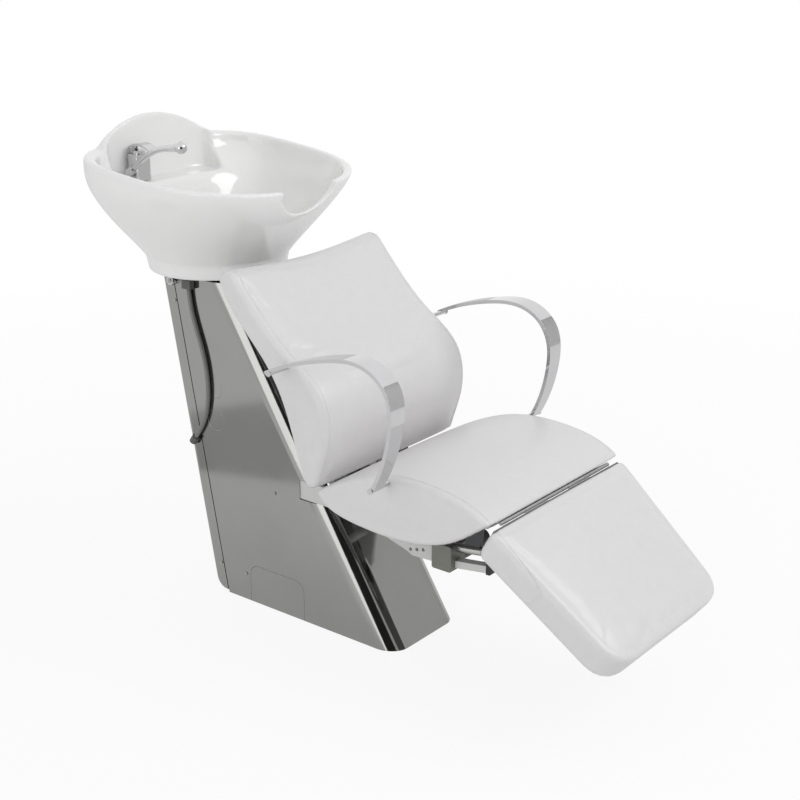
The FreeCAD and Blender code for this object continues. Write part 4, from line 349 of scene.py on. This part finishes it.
# ---- Carrier arms ---------------------------------------------------------------
# Two plates in silver powder coat reach out of the column's bends and carry the seat.

arm_coat = finish(
    "arm_coat", (0.70, 0.70, 0.695), (0.62, 0.62, 0.615), (0.30, 0.42), pebble,
    {"Grain Size": 800.0, "Crease Size": 24.0, "Creases": 0.3}, 0.00005,
    metallic=0.1, edge=0.0008)
dress(arm_coat, "carrier_arm_right", "carrier_arm_left", "carrier_cross_tube")


# ---- Upholstery -----------------------------------------------------------------
# Foam on boards under smooth pale vinyl, the boards lined with grey cloth. Each pad
# starts a little lean, is swollen like cloth round its filling, and is seamed afterwards.

lining = finish(
    "lining_cloth", (0.20, 0.20, 0.20), (0.13, 0.13, 0.13), (0.7, 0.85), pebble,
    {"Grain Size": 900.0, "Crease Size": 120.0, "Creases": 0.7}, 0.0002, edge=0.0006)
dress(lining, "seat_pan", "backrest_board", "legrest_board")
vinyl = finish(
    "pale_vinyl", (0.765, 0.755, 0.76), (0.72, 0.71, 0.715), (0.34, 0.46), pebble,
    {"Grain Size": 1500.0, "Crease Size": 42.0, "Creases": 0.55}, 0.00007, coat=0.06)
dress(vinyl, "seat_cushion", "backrest_cushion", "legrest_cushion")
pad_cell = 0.006
pad_lean = 0.003
pad_pressure = 4.0
pad_frames = 20
pad_stretch = 25
pad_bend = 2.0
pad_relax = 3
pad_room = 0.004


def stuffed(node, name, neighbours, proud):
    """Swell a soft solid's copy, holding it where it meets hard neighbours."""
    piece = solid_copy(node, name)
    piece.data.remesh_voxel_size = pad_cell
    bpy.ops.object.voxel_remesh()
    smooth = piece.modifiers.new("relax", "SMOOTH")
    smooth.factor = 0.5
    smooth.iterations = pad_relax
    bpy.ops.object.modifier_apply(modifier="relax")
    count = len(piece.data.vertices)
    home = np.empty(count * 3, np.float32)
    piece.data.vertices.foreach_get("co", home)
    home = home.reshape(-1, 3).astype(float)
    facing = np.empty(count * 3, np.float32)
    piece.data.vertices.foreach_get("normal", facing)
    facing = facing.reshape(-1, 3).astype(float)
    held = np.zeros(count)
    for neighbour in neighbours:
        other = nodes[neighbour].data
        tree = BVHTree.FromPolygons([v.co for v in other.vertices],
                                    [p.vertices for p in other.polygons])
        for index in range(count):
            found = tree.find_nearest(Vector(home[index]), pad_room * 2)
            if found[0] is not None:
                slack = max(0.0, found[3] - pad_room) / pad_room
                held[index] = max(held[index], 1.0 - slack)
    lean = home - facing * (pad_lean * (1 - held))[:, None]
    piece.data.vertices.foreach_set("co", lean.astype(np.float32).ravel())
    grip = piece.vertex_groups.new(name="held")
    for index in np.nonzero(held > 0)[0]:
        grip.add([int(index)], float(held[index]), "REPLACE")
    swell = piece.modifiers.new("swell", "CLOTH")
    swell.settings.effector_weights.gravity = 0
    swell.settings.use_pressure = True
    swell.settings.uniform_pressure_force = pad_pressure
    swell.settings.vertex_group_mass = "held"
    swell.settings.tension_stiffness = pad_stretch
    swell.settings.compression_stiffness = pad_stretch
    swell.settings.bending_stiffness = pad_bend
    swell.point_cache.frame_end = pad_frames
    for step in range(1, pad_frames + 1):
        scene.frame_set(step)
    only(piece)
    bpy.ops.object.modifier_apply(modifier="swell")
    swollen = np.empty(count * 3, np.float32)
    piece.data.vertices.foreach_get("co", swollen)
    moved = swollen.reshape(-1, 3) - home
    moved -= np.minimum((moved * facing).sum(1), 0.0)[:, None] * facing
    reach = np.linalg.norm(moved, axis=1)
    limit = proud * (1 - held)
    moved *= np.minimum(1.0, limit / np.maximum(reach, 1e-9))[:, None]
    piece.data.vertices.foreach_set("co", (home + moved).astype(np.float32).ravel())
    piece.vertex_groups.clear()
    finer = piece.modifiers.new("finer", "SUBSURF")
    finer.levels = 1
    finer.render_levels = 1
    only(piece)
    bpy.ops.object.modifier_apply(modifier="finer")
    bpy.ops.object.shade_smooth()
    piece.data.materials.append(vinyl)
    return piece


seam_half = 0.0014
seam_depth = 0.0013


def seamed(piece, line):
    """Press the thread of a sewn seam into the skin, just inside each side panel."""
    only(piece)
    bpy.ops.object.mode_set(mode="EDIT")
    for side in (-1, 1):
        for step in (-seam_half, 0, seam_half):
            bpy.ops.mesh.select_all(action="SELECT")
            bpy.ops.mesh.bisect(plane_co=(side * (line + step), 0, 0), plane_no=(1, 0, 0))
    bpy.ops.mesh.select_all(action="DESELECT")
    bpy.ops.object.mode_set(mode="OBJECT")
    for vertex in piece.data.vertices:
        if abs(abs(vertex.co.x) - line) < seam_half / 4:
            vertex.co -= vertex.normal * seam_depth


seat = stuffed("seat_cushion", "seat_pad",
               ["seat_pan", "hinge_seat_leaf", "armrest_pins", "backrest_cushion",
                "legrest_cushion", "armrest_right", "armrest_left"], proud=0.005)
seamed(seat, line=0.231)
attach(seat, "stand")
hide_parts("seat_cushion")

back = stuffed("backrest_cushion", "backrest_pad",
               ["backrest_board", "armrest_pins", "seat_cushion", "column_shell",
                "armrest_right", "armrest_left"], proud=0.005)
seamed(back, line=0.229)
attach(back, "stand")
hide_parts("backrest_cushion")

leg = stuffed("legrest_cushion", "legrest_pad",
              ["legrest_board", "hinge_leg_leaf", "seat_cushion", "hinge_seat_leaf",
               "hinge_pin"], proud=0.004)
seamed(leg, line=0.231)
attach(leg, "legrest")
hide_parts("legrest_cushion")


# ---- Legrest drive --------------------------------------------------------------
# A small gearbox and motor on the right arm push a rod through a bright tube; a pale
# rail under it carries the end block.

casting = finish(
    "cast_housing", (0.25, 0.25, 0.225), (0.19, 0.19, 0.17), (0.42, 0.58), dust,
    {"Size": 40.0, "Speck Size": 500.0}, 0.0001, metallic=0.3, edge=0.0012)
dress(casting, "drive_gearbox")
drawn = finish(
    "drawn_tube", (0.62, 0.62, 0.60), (0.52, 0.52, 0.50), (0.18, 0.28), lines,
    {"Along": (1.0, 0.03, 1.0), "Fineness": 800.0, "Cloud Size": 20.0}, 0.00001, metallic=1.0)
dress(drawn, "drive_tube")
pale = finish(
    "pale_moulding", (0.74, 0.74, 0.72), (0.68, 0.68, 0.66), (0.28, 0.4), pebble,
    {"Grain Size": 900.0, "Crease Size": 30.0, "Creases": 0.3}, 0.00003, edge=0.0006)
dress(pale, "drive_rail")


# ---- Studio ---------------------------------------------------------------------
# Plain pale floor, a wide soft light from the front, a tall strip light on the left and
# a pale surround. Screens that only reflections see, dark, grey and pale, give the polished
# parts contrast. A glowing screen paints the strip light's reflection, and a grey sheet on
# the floor paints a darker floor into the column's reflections.

def screen(name, shade, corners, glow=0.0):
    """Cloth screen that only reflections see, from its corners; with glow it shines as a painted
    reflection of a light.
    """
    cloth = bpy.data.materials.new(name)
    cloth.use_nodes = True
    weave = cloth.node_tree.nodes["Principled BSDF"]
    weave.inputs["Base Color"].default_value = (shade, shade, shade, 1)
    weave.inputs["Roughness"].default_value = 1.0
    weave.inputs["Emission Color"].default_value = (1, 1, 1, 1)
    weave.inputs["Emission Strength"].default_value = glow
    data = bpy.data.meshes.new(name)
    data.from_pydata(corners, [], [tuple(range(len(corners)))])
    data.materials.append(cloth)
    made = bpy.data.objects.new(name, data)
    scene.collection.objects.link(made)
    made.visible_camera = False
    made.visible_diffuse = False
    made.visible_shadow = False


def standing(name, shade, first, last, low, high, glow=0.0):
    """Screen that stands on a wide circle round the object, between two headings."""
    ends = [(screen_reach * math.cos(turn), screen_reach * math.sin(turn))
            for turn in (math.radians(first), math.radians(last))]
    screen(name, shade, [(*ends[0], low), (*ends[1], low), (*ends[1], high),
                         (*ends[0], high)], glow)


screen_reach = 4.6
standing("screen_dark", 0.015, 201, 243, -0.2, 3.4)
standing("screen_grey", 0.70, 243, 280, -0.2, 3.6)
standing("screen_pale", 0.80, 280, 343, -0.2, 3.2)
# painted reflection of the strip light: a glowing screen that only reflections see
standing("painted_strip_reflection", 0.80, 166, 201, -0.2, 2.6, glow=1.1)
# painted shade in reflections: a grey sheet on the floor that only reflections see, so the
# column's right side reflects a darker floor there
reflection_shade_height = 0.003
screen("reflected_floor_shade", 0.60, [(-0.95, 1.242, reflection_shade_height), (-1.33, 1.046, reflection_shade_height),
                           (-0.80, 0.35, reflection_shade_height), (-0.60, 0.92, reflection_shade_height)])

bpy.ops.object.select_all(action="DESELECT")
bpy.ops.mesh.primitive_plane_add(size=600.0, location=(0, 0, 0))
floor = bpy.context.active_object
floor.name = "studio_floor"
floor_skin = bpy.data.materials.new("studio_floor")
floor_skin.use_nodes = True
tree = floor_skin.node_tree
matte = tree.nodes["Principled BSDF"]
matte.inputs["Base Color"].default_value = (0.82, 0.82, 0.82, 1)
matte.inputs["Roughness"].default_value = 0.9
white = tree.nodes.new("ShaderNodeEmission")
white.inputs["Strength"].default_value = 1.0
path = tree.nodes.new("ShaderNodeLightPath")
place = tree.nodes.new("ShaderNodeTexCoord")
away = tree.nodes.new("ShaderNodeVectorMath")
away.operation = "LENGTH"
far_white = tree.nodes.new("ShaderNodeMapRange")
far_white.inputs["From Min"].default_value = 0.9
far_white.inputs["From Max"].default_value = 3.5
far_white.inputs["To Min"].default_value = 0.9
far_white.inputs["To Max"].default_value = 1.0
shown = tree.nodes.new("ShaderNodeMath")
shown.operation = "MULTIPLY"
mirrored = tree.nodes.new("ShaderNodeMath")
mirrored.operation = "MAXIMUM"
share = tree.nodes.new("ShaderNodeMath")
share.operation = "MULTIPLY_ADD"
share.inputs[1].default_value = 0.35
joined = tree.nodes.new("ShaderNodeMixShader")
tree.links.new(place.outputs["Object"], away.inputs[0])
tree.links.new(away.outputs["Value"], far_white.inputs["Value"])
tree.links.new(path.outputs["Is Camera Ray"], shown.inputs[0])
tree.links.new(far_white.outputs["Result"], shown.inputs[1])
tree.links.new(path.outputs["Is Glossy Ray"], mirrored.inputs[0])
tree.links.new(path.outputs["Is Transmission Ray"], mirrored.inputs[1])
tree.links.new(mirrored.outputs[0], share.inputs[0])
tree.links.new(shown.outputs[0], share.inputs[2])
tree.links.new(share.outputs[0], joined.inputs[0])
tree.links.new(matte.outputs[0], joined.inputs[1])
tree.links.new(white.outputs[0], joined.inputs[2])
tree.links.new(joined.outputs[0], tree.nodes["Material Output"].inputs["Surface"])
floor.data.materials.append(floor_skin)

surround = bpy.data.worlds.new("surround")
scene.world = surround
surround.use_nodes = True
tree = surround.node_tree
sky = tree.nodes["Background"]
sky.inputs["Color"].default_value = (1, 1, 1, 1)
path = tree.nodes.new("ShaderNodeLightPath")
mirrored = tree.nodes.new("ShaderNodeMath")
mirrored.operation = "MAXIMUM"
seen = tree.nodes.new("ShaderNodeMath")
seen.operation = "MAXIMUM"
level = tree.nodes.new("ShaderNodeMapRange")
level.inputs["To Min"].default_value = 0.62
level.inputs["To Max"].default_value = 1.0
tree.links.new(path.outputs["Is Glossy Ray"], mirrored.inputs[0])
tree.links.new(path.outputs["Is Transmission Ray"], mirrored.inputs[1])
tree.links.new(path.outputs["Is Camera Ray"], seen.inputs[0])
tree.links.new(mirrored.outputs[0], seen.inputs[1])
tree.links.new(seen.outputs[0], level.inputs["Value"])
tree.links.new(level.outputs["Result"], sky.inputs["Strength"])


def soft_light(name, place, aim, width, height, power):
    """Soft light facing a point."""
    data = bpy.data.lights.new(name, "AREA")
    data.shape = "RECTANGLE"
    data.size = width
    data.size_y = height
    data.energy = power
    made = bpy.data.objects.new(name, data)
    scene.collection.objects.link(made)
    made.visible_camera = False
    made.location = place
    made.rotation_mode = "QUATERNION"
    made.rotation_quaternion = (Vector(aim) - Vector(place)).to_track_quat("-Z", "Y")
    return made


soft_light("front_light", (1.2, -3.2, 3.4), (0, -0.1, 0.5), 2.2, 2.2, 58.0)
side_light = soft_light("side_light", (-3.48, -0.33, 1.2), (0, 0, 0.6), 1.8, 2.4, 23.0)
# the strip light is hidden from reflections; the glowing screen paints its reflection instead
side_light.visible_glossy = False

scene.view_settings.view_transform = "Standard"
